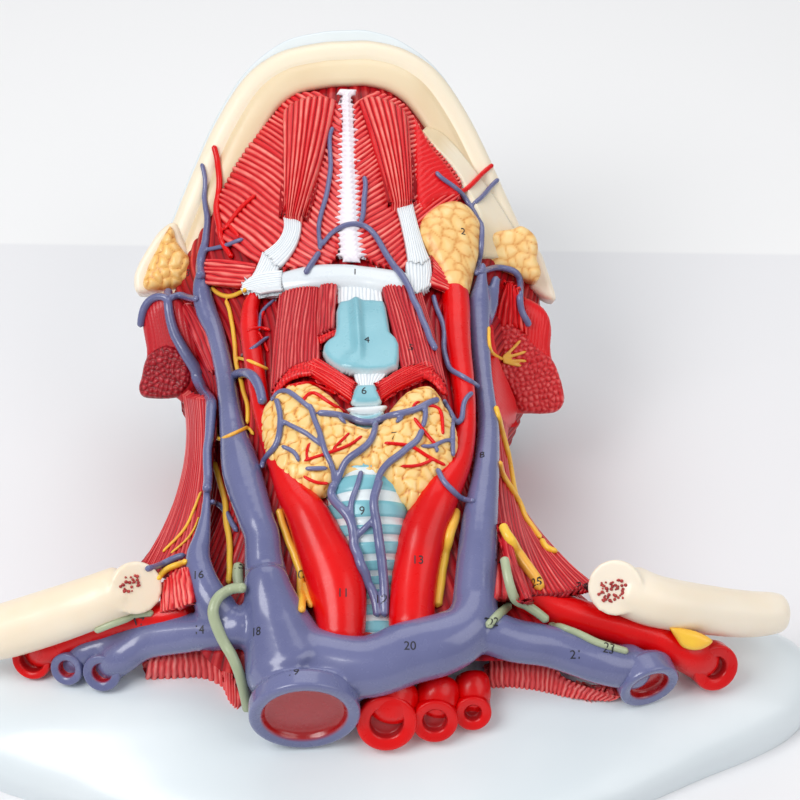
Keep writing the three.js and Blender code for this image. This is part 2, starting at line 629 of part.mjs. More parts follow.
// Glands
const thyroidLobes = [
  { from: 0.236, to: 0.37, rightEdge: [[0.236, -0.28], [0.25, -0.4], [0.265, -0.46], [0.28, -0.49],
    [0.305, -0.5],
    [0.33, -0.485], [0.35, -0.45], [0.365, -0.36], [0.37, -0.32]],
  leftEdge: [[0.236, -0.12], [0.25, -0.02], [0.3, -0.04], [0.33, -0.08], [0.355, -0.2],
    [0.37, -0.28]] },
  { from: 0.195, to: 0.357, rightEdge: [[0.195, 0.19], [0.215, 0.12], [0.235, 0.03], [0.3, 0.03],
    [0.325, 0.08],
    [0.345, 0.18], [0.357, 0.26]],
  leftEdge: [[0.195, 0.23], [0.215, 0.27], [0.245, 0.37], [0.265, 0.41], [0.295, 0.425], [0.325, 0.4],
    [0.345, 0.35], [0.357, 0.3]] },
  { from: 0.238, to: 0.297, rightEdge: [[0.238, -0.06], [0.297, -0.06]], leftEdge: [[0.238, 0.1],
    [0.297, 0.1]],
    rows: 3, crown: 1.6 },
].map((lobe) => ({ rows: 6, columns: 5, crown: 3.4, rim: 0.4, along: 0.7, ...lobe }));

const submandibularGland = {
  from: 0.53,
  to: 0.683,
  rightEdge: [[0.53, 0.49], [0.55, 0.42], [0.58, 0.35], [0.62, 0.32], [0.66, 0.36], [0.683, 0.42]],
  leftEdge: [[0.53, 0.52], [0.55, 0.55], [0.58, 0.58], [0.62, 0.62], [0.66, 0.62], [0.683, 0.54]],
  rows: 8,
  columns: 6,
  crown: 5,
  along: 1,
};
const parotidRight = {
  radius: 6.2,
  flatness: 0.7,
  freeRoute: [[-1.1, 0.634, 0.5, 0.5], [-1.06, 0.652, 0.55, 0.95], [-0.99, 0.676, 0.605, 0.95],
    [-0.95, 0.7, 0.655, 0.4]],
};
const parotidLeft = {
  radius: 7.2,
  flatness: 0.6,
  freeRoute: [[0.7, 0.655, 0.57, 0.45], [0.78, 0.655, 0.575, 0.95], [0.9, 0.65, 0.565, 1],
    [0.96, 0.635, 0.53, 0.5]],
};

// Muscles
const mylohyoids = [
  { name: 'mylohyoid_right', from: 0.58, to: 0.828,
    rightEdge: [[0.58, -0.72], [0.6, -0.76], [0.63, -0.76], [0.66, -0.73], [0.69, -0.7],
      [0.71, -0.69], [0.74, -0.63],
      [0.765, -0.57], [0.785, -0.5], [0.8, -0.4], [0.815, -0.3], [0.828, -0.18]],
    leftEdge: [[0.58, -0.05], [0.828, -0.05]] },
  { name: 'mylohyoid_left', from: 0.58, to: 0.828,
    rightEdge: [[0.58, 0.01], [0.828, 0.01]],
    leftEdge: [[0.58, 0.4], [0.6, 0.46], [0.63, 0.55], [0.66, 0.6], [0.69, 0.58], [0.71, 0.5],
      [0.745, 0.42],
      [0.765, 0.37], [0.8, 0.3], [0.828, 0.16]] },
].map((muscle) => ({ rows: 8, columns: 6, crown: 0.4, rim: -1.4, ...muscle }));

const raphe = {
  from: 0.585,
  to: 0.82,
  rightEdge: [[0.58, -0.1], [0.62, -0.08], [0.7, -0.065], [0.82, -0.06]],
  leftEdge: [[0.58, 0.04], [0.62, 0.03], [0.7, 0.025], [0.82, 0.02]],
  rows: 6,
  columns: 3,
  crown: 0.6,
};
const digastrics = [
  { name: 'digastric_right', from: 0.637, to: 0.824,
    rightEdge: [[0.637, -0.355], [0.7, -0.36], [0.81, -0.38]],
    leftEdge: [[0.637, -0.28], [0.65, -0.26], [0.7, -0.175], [0.75, -0.11], [0.81, -0.06]] },
  { name: 'digastric_left', from: 0.652, to: 0.824,
    rightEdge: [[0.652, 0.2], [0.7, 0.155], [0.75, 0.1], [0.81, 0.05]],
    leftEdge: [[0.652, 0.285], [0.7, 0.3], [0.75, 0.32], [0.81, 0.3]] },
].map((muscle) => ({ rows: 8, columns: 5, crown: 2.4, rim: 0, ...muscle }));

const digastricTendons = [
  { name: 'digastric_tendon_right', route: [[-0.315, 0.634], [-0.33, 0.605, 0.85], [-0.39, 0.59, 0.9],
    [-0.44, 0.578]] },
  { name: 'digastric_tendon_left', route: [[0.243, 0.649], [0.265, 0.61, 0.85], [0.29, 0.59, 0.9],
    [0.32, 0.578]] },
].map((tendon) => ({ radius: 2.3, lift: 0.5, flatness: 0.6, ...tendon }));

const sternohyoids = [
  { name: 'sternohyoid_right', from: 0.362, to: 0.532,
    rightEdge: [[0.362, -0.44], [0.45, -0.44], [0.532, -0.42]],
    leftEdge: [[0.362, -0.21], [0.385, -0.21], [0.42, -0.21], [0.44, -0.18], [0.46, -0.13],
      [0.532, -0.12]] },
  { name: 'sternohyoid_left', from: 0.362, to: 0.532,
    rightEdge: [[0.362, 0.19], [0.385, 0.19], [0.42, 0.19], [0.44, 0.15], [0.46, 0.13], [0.49, 0.125],
      [0.532, 0.11]],
    leftEdge: [[0.362, 0.38], [0.4, 0.34], [0.47, 0.3], [0.532, 0.27]] },
].map((muscle) => ({ rows: 8, columns: 5, crown: 1.6, rim: 0.2, ...muscle }));

const cricothyroids = [
  { name: 'cricothyroid_right', from: 0.35, to: 0.372,
    rightEdge: [[0.35, -0.12], [0.36, -0.17], [0.372, -0.2]], leftEdge: [[0.35, -0.07],
      [0.372, -0.1]] },
  { name: 'cricothyroid_left', from: 0.35, to: 0.372,
    rightEdge: [[0.35, 0.06], [0.372, 0.08]], leftEdge: [[0.35, 0.12], [0.36, 0.19], [0.372, 0.22]] },
].map((muscle) => ({ rows: 3, columns: 3, crown: 1.4, ...muscle }));

// Muscles of the flanks; the right one has a strap behind it that stands out past the flank
const sideStrap = {
  radius: 4.5,
  lift: -0.45,
  route: [[-0.84, 0.5, 0.8], [-0.87, 0.42], [-0.89, 0.33], [-0.94, 0.265, 0.9], [-1.03, 0.21, 0.7],
    [-1.15, 0.16, 0.5]],
};
const sideMuscles = [
  { name: 'side_muscle_right', from: 0.12, to: 0.56,
    rightEdge: [[0.12, -1.1], [0.15, -1.08], [0.2, -1], [0.25, -0.93], [0.3, -0.89], [0.4, -0.87],
      [0.5, -0.88],
      [0.56, -0.95]],
    leftEdge: [[0.12, -0.56], [0.2, -0.55], [0.3, -0.58], [0.4, -0.6], [0.5, -0.6], [0.56, -0.64]],
    strap: sideStrap },
  { name: 'side_muscle_left', from: 0.1, to: 0.56,
    rightEdge: [[0.1, 0.6], [0.2, 0.58], [0.3, 0.62], [0.4, 0.64], [0.5, 0.64], [0.56, 0.66]],
    leftEdge: [[0.1, 1.16], [0.15, 1.05], [0.2, 0.92], [0.25, 0.81], [0.3, 0.77], [0.4, 0.765],
      [0.5, 0.8],
      [0.56, 0.9]] },
].map((muscle) => ({ rows: 10, columns: 5, crown: 0.6, ...muscle }));

const sideMuscleSolid = (muscle, grow) => {
  const patch = patchSolid(muscle, grow);
  return muscle.strap ? patch.add(routeSolid(muscle.strap, grow)) : patch;
};

const sternomastoidRight = {
  radius: 7.2,
  flatness: 0.72,
  sides: 10,
  mouthFacing: [0, -0.8, 0.6],
  freeRoute: [[-1.02, 0.552, 0.365, 0.95], [-1.035, 0.585, 0.385, 1.05], [-1.04, 0.62, 0.41, 1],
    [-1.0, 0.65, 0.44, 0.7]],
};
const sternomastoidLeft = {
  radius: 9.6,
  flatness: 0.74,
  sides: 10,
  mouthFacing: [0, -0.8, 0.6],
  freeRoute: [[0.87, 0.515, 0.355, 1], [0.89, 0.55, 0.375, 1.05], [0.9, 0.59, 0.405, 0.95],
    [0.9, 0.63, 0.44, 0.7]],
};

// Strips between the ribs, lying on the shell under the great veins
const ribStrips = [
  { name: 'intercostal_right', fromShare: -1.1, toShare: -0.61, backShare: 0.12,
    frontShares: [[-1.1, 0.078], [-0.97, 0.073], [-0.83, 0.066], [-0.74, 0.056], [-0.69, 0.04],
      [-0.63, 0.022],
      [-0.61, 0.02]] },
  { name: 'intercostal_left', fromShare: 0.5, toShare: 1.1, backShare: 0.085,
    frontShares: [[0.5, 0.042], [0.69, 0.034], [0.83, 0.028], [0.96, 0.024], [1.1, 0.03]] },
].map((strip) => ({ frontRise: 1.5, backRise: 6, ...strip }));

function ribStripSolid({ fromShare, toShare, frontShares, backShare, frontRise, backRise }, grow) {
  const rows = 3;
  const columns = 6;
  const sheet = (riseAtRow) => Array.from({ length: rows + 1 }, (_, row) => Array.from(
    { length: columns + 1 },
    (__, column) => {
      const u = mix(fromShare, toShare, column / columns);
      const x = halfNeck * u + grow * (2 * column / columns - 1);
      const v = mix(valueAt(frontShares, u), backShare, row / rows) + grow / neckLength * (2 * row / rows - 1);
      return new THREE.Vector3(x, v * neckLength, shellHeight(x, v) + riseAtRow(row / rows));
    },
  ));
  return sheetSolid(
    sheet((t) => mix(frontRise, backRise, Math.sqrt(t)) + grow),
    sheet(() => -fitGap - grow),
  );
}

// Collar bones
const clavicles = [
  { name: 'clavicle_right', radius: 6.5, freeRoute: [[-1.08, 0.108, 0.457, 1],
    [-1.25, 0.12, 0.41, 0.95],
    [-1.46, 0.132, 0.352, 0.93], [-1.76, 0.142, 0.29, 0.85], [-1.93, 0.145, 0.265, 0.6]] },
  { name: 'clavicle_left', radius: 6.8, freeRoute: [[1.06, 0.072, 0.457, 1], [1.22, 0.08, 0.415, 0.9],
    [1.48, 0.092, 0.352, 0.8], [1.76, 0.104, 0.29, 0.66], [1.93, 0.112, 0.26, 0.4]] },
].map((bone) => ({ sides: 12, flatness: 0.95, ...bone }));

// Nerves and lymph ducts
const nerves = [
  { name: 'vagus_nerve_right', radius: 1.3, lift: 0.4, route: [[-0.44, 0.205], [-0.39, 0.165],
    [-0.34, 0.125],
    [-0.31, 0.09, 0.7]] },
  { name: 'vagus_nerve_left', radius: 1.6, lift: 0.2, route: [[0.395, 0.205], [0.345, 0.165],
    [0.31, 0.125],
    [0.285, 0.085]] },
  { name: 'phrenic_nerve_right', radius: 1.1, lift: 1, route: [[-0.74, 0.325], [-0.7, 0.27],
    [-0.69, 0.235],
    [-0.7, 0.2], [-0.675, 0.165], [-0.68, 0.135]] },
  { name: 'ansa_nerve_right', radius: 1, lift: 1.2, route: [[-0.75, 0.6, 1, 2.5], [-0.69, 0.567, 1, 2],
    [-0.655, 0.54, 1, 2], [-0.63, 0.5], [-0.605, 0.45], [-0.59, 0.405], [-0.575, 0.37],
    [-0.555, 0.34]] },
  { name: 'brachial_nerve_left', radius: 1.5, lift: 1, route: [[0.64, 0.375, 0.5], [0.67, 0.335, 0.6],
    [0.7, 0.295, 0.7], [0.72, 0.25, 0.8], [0.77, 0.2, 0.9], [0.84, 0.155]] },
].map((nerve) => ({ sides: 5, ...nerve }));

const lymphDuct = {
  radius: 1.6,
  sides: 5,
  flatness: 0.7,
  route: [[-0.63, 0.165, 0.7, 1.2], [-0.645, 0.13, 1, 1.6], [-0.71, 0.115, 1, 3]],
  freeRoute: [[-0.75, 0.095, 0.44, 1], [-0.7, 0.07, 0.425, 1.2], [-0.645, 0.04, 0.4, 1.2],
    [-0.61, 0.015, 0.36, 1.1], [-0.6, -0.015, 0.29, 1]],
};

// Colours of the casting's paint
const finish = (colour, roughness) => ({ color: colour, roughness, metalness: 0 });
const finishes = {
  base: finish(0xdfe9ec, 0.45),
  bone: finish(0xfaecd2, 0.4),
  vein: finish(0x767aa2, 0.3),
  artery: finish(0xd80808, 0.25),
  muscle: finish(0xc81c20, 0.4),
  core: finish(0x8c1018, 0.5),
  cartilage: finish(0x9bcdd7, 0.4),
  tendon: finish(0xe8eef2, 0.45),
  gland: finish(0xfacd78, 0.45),
  nerve: finish(0xfac846, 0.4),
  lymph: finish(0xa5af8c, 0.45),
};

// Every piece in the order of cutting: each is trimmed clear of those before it
const piece = (name, look, shape, data) => ({ name, look, shape: (grow) => shape(data, grow) });
const plain = (name, look, shape) => ({ name, look, shape });
const named = (list, look, shape) => list.map((data) => piece(data.name, look, shape, data));
const branched = ({ branches, ...main }, grow) => joined(
  [main, ...branches].map((part) => routeSolid(part, grow)),
);
const lobed = (lobes, grow) => joined(lobes.map((lobe) => patchSolid(lobe, grow)));

const pieces = [
  plain('back_cover', 'base', coverSolid),
  plain('base_shell', 'base', shellSolid),
  plain('jaw_plate', 'base', jawPlateSolid),
  plain('mandible', 'bone', mandibleSolid),
  ...named(clavicles, 'bone', routeSolid),
  plain('great_vein', 'vein', greatVeinSolid),
  piece('internal_jugular_left', 'vein', routeSolid, jugularLeft),
  piece('internal_jugular_right', 'vein', routeSolid, jugularRight),
  piece('subclavian_vein_left', 'vein', boredVesselSolid, subclavianVeinLeft),
  piece('subclavian_vein_right', 'vein', boredVesselSolid, subclavianVeinRight),
  piece('carotid_left', 'artery', routeSolid, carotidLeft),
  piece('carotid_right', 'artery', routeSolid, carotidRight),
  ...named(archBranches, 'artery', boredVesselSolid),
  piece('subclavian_artery_left', 'artery', boredVesselSolid, subclavianArteryLeft),
  piece('subclavian_artery_right', 'artery', boredVesselSolid, subclavianArteryRight),
  piece('trachea', 'cartilage', routeSolid, trachea),
  piece('cricoid_cartilage', 'cartilage', routeSolid, cricoid),
  piece('hyoid_bone', 'tendon', patchSolid, hyoid),
  piece('thyroid_cartilage', 'cartilage', patchSolid, thyroidCartilage),
  plain('neck_core', 'core', coreSolid),
  piece('thyrohyoid_membrane', 'tendon', patchSolid, thyrohyoidMembrane),
  piece('cricothyroid_ligament', 'tendon', patchSolid, cricothyroidLigament),
  piece('thyroid_gland', 'gland', lobed, thyroidLobes),
  piece('submandibular_gland_left', 'gland', patchSolid, submandibularGland),
  ...named(mylohyoids, 'muscle', patchSolid),
  piece('mylohyoid_raphe', 'tendon', patchSolid, raphe),
  ...named(digastrics, 'muscle', patchSolid),
  ...named(digastricTendons, 'tendon', routeSolid),
  ...named(sternohyoids, 'muscle', patchSolid),
  ...named(cricothyroids, 'muscle', patchSolid),
  ...named(sideMuscles, 'muscle', sideMuscleSolid),
  piece('sternomastoid_right', 'muscle', routeSolid, sternomastoidRight),
  piece('sternomastoid_left', 'muscle', routeSolid, sternomastoidLeft),
  piece('parotid_gland_right', 'gland', routeSolid, parotidRight),
  piece('parotid_gland_left', 'gland', routeSolid, parotidLeft),
  ...named(ribStrips, 'muscle', ribStripSolid),
  piece('external_jugular_right', 'vein', routeSolid, externalJugular),
  piece('facial_vein_right', 'vein', routeSolid, facialVeinRight),
  piece('facial_vein_left', 'vein', routeSolid, facialVeinLeft),
  piece('retromandibular_vein_left', 'vein', routeSolid, retromandibularVein),
  piece('anterior_jugular_vein', 'vein', branched, anteriorJugular),
  piece('thyroid_veins', 'vein', branched, thyroidVeins),
  piece('facial_artery_right', 'artery', routeSolid, facialArteryRight),
  ...named(nerves, 'nerve', routeSolid),
  piece('lymph_duct_right', 'lymph', routeSolid, lymphDuct),
];

const apart = (a, b) => ['x', 'y', 'z'].some((axis, i) => a.min[i] > b.max[i] || b.min[i] > a.max[i]);

function largestBody(solid) {
  const bodies = solid.decompose();
  return bodies.reduce((best, body) => (body.volume() > best.volume() ? body : best));
}

function meshOf({ name, look }, solid) {
  const { vertProperties, triVerts } = solid.getMesh();
  const geometry = new THREE.BufferGeometry();
  geometry.setAttribute('position', new THREE.BufferAttribute(vertProperties, 3));
  geometry.setIndex(new THREE.BufferAttribute(triVerts, 1));
  geometry.computeVertexNormals();
  const mesh = new THREE.Mesh(geometry, new THREE.MeshStandardMaterial(finishes[look]));
  mesh.name = name;
  return mesh;
}

const neck = new THREE.Group();
const grownBefore = [];
for (const item of pieces) {
  const whole = item.shape(0);
  const grown = item.shape(fitGap);
  const near = grownBefore.filter((other) => !apart(other.boundingBox(), whole.boundingBox()));
  const trimmed = near.reduce((left, other) => left.subtract(other), whole);
  neck.add(meshOf(item, largestBody(trimmed)));
  grownBefore.push(grown);
}

// The footprint's middle becomes the origin
const bounds = new THREE.Box3().setFromObject(neck);
neck.position.y = -(bounds.min.y + bounds.max.y) / 2;

const model = new THREE.Group();
model.add(neck);

export default model;
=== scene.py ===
# Looks for the anatomical neck model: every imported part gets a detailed, painted piece.
import json
import math

import bpy
import numpy as np
from mathutils import Matrix, Vector
from mathutils.bvhtree import BVHTree

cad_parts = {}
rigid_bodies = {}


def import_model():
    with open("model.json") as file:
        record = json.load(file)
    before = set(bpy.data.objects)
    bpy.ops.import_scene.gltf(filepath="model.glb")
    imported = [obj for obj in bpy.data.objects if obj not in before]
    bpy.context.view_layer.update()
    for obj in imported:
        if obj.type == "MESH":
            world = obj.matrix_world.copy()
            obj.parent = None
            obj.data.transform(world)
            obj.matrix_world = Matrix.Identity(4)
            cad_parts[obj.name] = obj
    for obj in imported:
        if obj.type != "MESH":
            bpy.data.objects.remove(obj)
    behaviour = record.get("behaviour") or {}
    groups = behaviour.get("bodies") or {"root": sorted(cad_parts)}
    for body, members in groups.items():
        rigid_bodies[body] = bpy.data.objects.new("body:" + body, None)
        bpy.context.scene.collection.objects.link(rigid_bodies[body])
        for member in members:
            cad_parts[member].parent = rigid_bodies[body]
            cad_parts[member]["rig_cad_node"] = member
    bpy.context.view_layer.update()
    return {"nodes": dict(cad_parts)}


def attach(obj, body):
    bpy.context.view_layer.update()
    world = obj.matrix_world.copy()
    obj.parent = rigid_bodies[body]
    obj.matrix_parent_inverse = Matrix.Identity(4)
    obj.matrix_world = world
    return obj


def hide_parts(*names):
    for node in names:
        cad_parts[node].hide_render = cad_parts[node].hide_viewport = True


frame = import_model()
mm = 0.001
bpy.ops.object.select_all(action="DESELECT")
print("frame loaded")

# The rounded surface of the neck that the part's source is built on, in millimetres and shares
neck = {
    "halfWidth": 50,
    "length": 200,
    "height": 92,
    "startY": -88.162,  # y of share 0 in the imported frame
    "foot": 8,
    "roundness": 2.4,
    "slopeStep": 0.01,
    "ridge": [(-.1, .13), (0, .326), (.05, .37), (.1, .413), (.15, .467), (.2, .533), (.25, .587),
              (.3, .63), (.35, .663), (.4, .674), (.45, .685), (.5, .685), (.555, .696), (.65, .772),
              (.75, .859), (.825, .924), (.89, .978), (.95, 1)],
    "rightFlank": [(-.1, 1.6), (0, 1.6), (.05, 1.56), (.1, 1.4), (.15, 1.2), (.2, 1.06), (.25, .96),
                   (.3, .92), (.35, .9), (.45, .9), (.5, .92), (.55, 1), (.6, 1.14), (.65, 1.2),
                   (.75, 1.08), (.825, .9), (.89, .72), (.95, .5)],
    "leftFlank": [(-.1, 1.6), (0, 1.6), (.05, 1.56), (.1, 1.36), (.15, 1.12), (.2, .96), (.25, .84),
                  (.3, .8), (.35, .78), (.45, .8), (.5, .84), (.55, .96), (.6, 1.08), (.65, 1.12),
                  (.75, 1.02), (.825, .88), (.89, .72), (.95, .5)],
}


neckScale = np.array([neck["halfWidth"], neck["length"]])


def valueAt(table, at):  # a smooth curve through a table's points, level past its ends
    table = np.array(table, float)
    places, values = table[:, 0], table[:, 1]
    slopes = np.empty_like(values)
    slopes[1:-1] = (values[2:] - values[:-2]) / (places[2:] - places[:-2])
    slopes[0] = (values[1] - values[0]) / (places[1] - places[0])
    slopes[-1] = (values[-1] - values[-2]) / (places[-1] - places[-2])
    at = np.clip(at, places[0], places[-1])
    i = np.clip(np.searchsorted(places, at, side="right") - 1, 0, len(places) - 2)
    span = places[i + 1] - places[i]
    t = (at - places[i]) / span
    s = 1 - t
    return (values[i] * s * s * (1 + 2 * t) + values[i + 1] * t * t * (3 - 2 * t)
            + span * t * s * (slopes[i] * s - slopes[i + 1] * t))


def curveAt(knots, points, at):  # the same through points of several numbers
    return np.stack([valueAt(np.stack([knots, column], 1), at) for column in points.T], -1)


def straightAt(knots, points, at):  # straight from point to point
    return np.stack([np.interp(at, knots, column) for column in points.T], -1)


def runAlong(points, power=1):  # how far along a line of points each of them is
    return np.concatenate([[0], np.cumsum(np.linalg.norm(np.diff(points, axis=0), axis=1) ** power)])


def bent(first, middle, last, share):  # along the bend through three places
    return (first * (1 - share) * (1 - 2 * share) + middle * 4 * share * (1 - share)
            + last * share * (2 * share - 1))


def rounded(share):  # a quarter circle's height, level from share 1
    return np.sqrt(1 - (1 - np.clip(share, 0, 1)) ** 2)


def crowned(t):
    return np.sqrt(np.maximum(4 * t * (1 - t), 0))


def smoothStep(low, high, value):
    t = np.clip((value - low) / (high - low), 0, 1)
    return t * t * (3 - 2 * t)


def unit(vector):
    vector = np.asarray(vector, float)
    return vector / np.linalg.norm(vector, axis=-1, keepdims=True)


def spread(*values):
    return np.broadcast_arrays(*(np.asarray(value, float) for value in values))


def riseAt(v):
    return neck["height"] * valueAt(neck["ridge"], v) - neck["foot"]


def flankAt(u, v):
    right, left = valueAt(neck["rightFlank"], v), valueAt(neck["leftFlank"], v)
    return neck["halfWidth"] * np.where(u < 0, right, left)


def slopeOf(measure, v):
    step = neck["slopeStep"]
    return (measure(v + step) - measure(v - step)) / (2 * step * neck["length"])


def sectionAt(u, v):  # shares of the way out to the flank and up to the ridge
    power = neck["roundness"]
    across = np.minimum(np.abs(u) * neck["halfWidth"] / flankAt(u, v), 1)
    return across, (1 - across ** power) ** (1 / power)


def neckNormal(u, v):
    power = neck["roundness"]
    rise, flank = riseAt(v), flankAt(u, v)
    across, up = sectionAt(u, v)
    lean = (across ** power * slopeOf(lambda place: flankAt(u, place), v) / flank
            + up ** power * slopeOf(riseAt, v) / rise)
    outward = np.sign(u) * across ** (power - 1) / flank
    return unit(np.stack([outward, -lean, up ** (power - 1) / rise], -1))


def neckPlace(u, v, lift=0):
    u, v, lift = spread(u, v, lift)
    point = np.stack([u * neck["halfWidth"], v * neck["length"] + neck["startY"],
                      neck["foot"] + riseAt(v) * sectionAt(u, v)[1]], -1)
    return point + neckNormal(u, v) * lift[..., None]


def freePlace(u, v, h):
    u, v, h = spread(u, v, h)
    return np.stack([u * neck["halfWidth"], v * neck["length"] + neck["startY"], h * neck["height"]], -1)


# Mesh helpers: a grid primitive is placed point by point, then sewn or thickened
def readPoints(piece):
    points = np.empty(len(piece.data.vertices) * 3)
    piece.data.vertices.foreach_get("co", points)
    return points.reshape(-1, 3)


def setPoints(piece, points):  # millimetres in, metres out
    piece.data.vertices.foreach_set("co", (np.asarray(points) * mm).ravel())
    piece.data.update()


def addGrid(name, columns, rows):
    bpy.ops.mesh.primitive_grid_add(x_subdivisions=columns, y_subdivisions=rows, size=1)
    piece = bpy.context.object
    piece.name = piece.data.name = name
    s, t, _ = readPoints(piece).T + 0.5
    return piece, np.clip(s, 0, 1), np.clip(t, 0, 1)


def addSheet(name, rows):  # a grid over rows of points, and the row and column of each vertex
    count, sides = len(rows) - 1, rows.shape[1] - 1
    piece, s, t = addGrid(name, sides, count)
    return piece, s, t, np.rint(t * count).astype(int), np.rint(s * sides).astype(int)


def mark(piece, name, values):
    layer = piece.data.attributes.new(name, "FLOAT", "POINT")
    layer.data.foreach_set("value", np.asarray(values, np.float32))


def activate(piece):
    bpy.ops.object.select_all(action="DESELECT")
    piece.select_set(True)
    bpy.context.view_layer.objects.active = piece


def applyModifier(piece, kind, **settings):
    activate(piece)
    bpy.ops.object.modifier_add(type=kind)
    modifier = piece.modifiers[-1]
    for key, value in settings.items():
        setattr(modifier, key, value)
    bpy.ops.object.modifier_apply(modifier=modifier.name)


def thicken(piece, thickness):  # inward from the sheet
    applyModifier(piece, "SOLIDIFY", thickness=thickness * mm, offset=-1)


def startEdit(piece):
    activate(piece)
    bpy.ops.object.mode_set(mode="EDIT")
    bpy.ops.mesh.select_all(action="SELECT")


def endEdit():  # with every face turned outward
    bpy.ops.mesh.select_all(action="SELECT")
    bpy.ops.mesh.normals_make_consistent(inside=False)
    bpy.ops.object.mode_set(mode="OBJECT")


def sewShut(piece, gap=0.01):
    startEdit(piece)
    bpy.ops.mesh.remove_doubles(threshold=gap * mm)
    bpy.ops.mesh.fill_holes(sides=0)
    endEdit()


def extrudeBack(piece, step):  # a sheet becomes a solid, straight back by a step in millimetres
    startEdit(piece)
    bpy.ops.mesh.extrude_region_move(TRANSFORM_OT_translate={"value": step * mm})
    endEdit()


def trimPoints(piece, unwanted):
    startEdit(piece)
    bpy.ops.mesh.select_mode(type="VERT")
    bpy.ops.mesh.select_all(action="DESELECT")
    bpy.ops.object.mode_set(mode="OBJECT")
    piece.data.vertices.foreach_set("select", np.asarray(unwanted, bool))
    bpy.ops.object.mode_set(mode="EDIT")
    bpy.ops.mesh.delete(type="VERT")
    bpy.ops.object.mode_set(mode="OBJECT")


def joinPieces(name, pieces):
    bpy.ops.object.select_all(action="DESELECT")
    for piece in pieces:
        piece.select_set(True)
    bpy.context.view_layer.objects.active = pieces[0]
    if len(pieces) > 1:
        bpy.ops.object.join()
    pieces[0].name = pieces[0].data.name = name
    return pieces[0]


def fuse(name, pieces, voxel, rounds):  # overlapping closed pieces become one softly blended body
    piece = joinPieces(name, pieces)
    applyModifier(piece, "REMESH", mode="VOXEL", voxel_size=voxel * mm)
    applyModifier(piece, "SMOOTH", factor=0.5, iterations=rounds)
    return piece


def waves(seed, x, y):  # gentle seeded unevenness between about -1 and 1
    random = np.random.default_rng(seed)
    total = 0
    for strength in (1, 0.6, 0.4):
        turn, reachX, reachY = random.uniform(0, 2 * math.pi), *random.uniform(0.5, 1.4, 2)
        total = total + strength * np.sin(x * reachX / strength + y * reachY / strength + turn)
    return total / 2


def cells(seed, x, y, tile=64):  # distances to the two nearest of scattered points, one per square, and its tone
    random = np.random.default_rng(seed)
    table = random.uniform(0.12, 0.88, (tile, tile, 2))
    tones = random.uniform(0, 1, (tile, tile))
    baseX, baseY = np.floor(x).astype(int), np.floor(y).astype(int)
    near, second = (np.full(np.shape(x), math.inf) for _ in range(2))
    tone = np.zeros(np.shape(x))
    for stepX in (-1, 0, 1):
        for stepY in (-1, 0, 1):
            column, row = baseX + stepX, baseY + stepY
            spot = table[column % tile, row % tile]
            away = np.hypot(column + spot[..., 0] - x, row + spot[..., 1] - y)
            closer = away < near
            second = np.where(closer, near, np.minimum(second, away))
            tone = np.where(closer, tones[column % tile, row % tile], tone)
            near = np.where(closer, away, near)
    return near, second, tone


def pillows(seed, x, y, gap):  # rounded cushions with sunk gaps, 0 in a gap and 1 on top
    near, second, tone = cells(seed, x, y)
    return np.sqrt(np.clip((second - near) / gap, 0, 1)), tone


def smoothPath(places, step, fineness=40):  # even points of a smooth curve, their knots and how far along they are
    places = np.array(places, float)
    knots = runAlong(places, 0.5)
    fine = np.linspace(0, knots[-1], fineness * len(places))
    curve = curveAt(knots, places, fine)
    reach = runAlong(curve)
    even = np.linspace(0, reach[-1], max(int(reach[-1] / step), 3) + 1)
    return straightAt(reach, curve, even), np.interp(even, reach, fine), even, knots


def sweep(places, radii, sides, step, flatness=1, rounding=(0, 0)):
    path, at, even, knots = smoothPath(places, step)
    radius = valueAt(np.stack([knots, np.array(radii, float)], 1), at)
    for away, size in zip((even, even[-1] - even), rounding):
        if size:
            radius = radius * rounded(away / size)
    along = unit(np.gradient(path, axis=0))
    sideways = unit(np.cross(along[0], [0, 0, 1]))
    rings = []
    angle = np.linspace(0, 2 * math.pi, sides + 1)
    for i in range(len(path)):
        sideways = unit(sideways - along[i] * np.dot(sideways, along[i]))
        upward = np.cross(sideways, along[i])
        rings.append(path[i] + radius[i] * (np.outer(np.cos(angle), sideways)
                                            + flatness * np.outer(np.sin(angle), upward)))
    return np.array(rings)


def rod(name, places, radii, sides, step, relief=None, skip=0, **shape):
    rings = sweep(places, radii, sides, step, **shape)[skip:]
    piece, s, t, i, j = addSheet(name, rings)
    points = rings[i, j]
    if relief is not None:
        middle = rings[:, :-1].mean(axis=1)[i]
        height, crest = relief(s, t)
        points = points + unit(points - middle) * np.asarray(height)[..., None]
        mark(piece, "relief", crest)
    setPoints(piece, points)
    sewShut(piece)
    return piece


# A cut end: a rounded rim with a sunk floor, on the vessel's own rings; the floor is painted a darker red, the veins'
# red inside being paint and the darkness of both floors painted shade in the recess
mouth = {
    "skip": 3,  # rings that the fused vessel leaves to its mouth
    "rings": 8,
    "wall": 6,
    "overlap": 1.015,  # the wall's width over the vessel's
    "rim": [(1.0, .25), (.96, .6), (.89, .6)],  # share of the ring's radius and millimetres proud
    "floor": [(.06, .3), (0, -.2), (-.02, -1.4), (-.1, -1.9), (-.5, -1.7), (-1, -1.6)],  # past the lumen's share
}


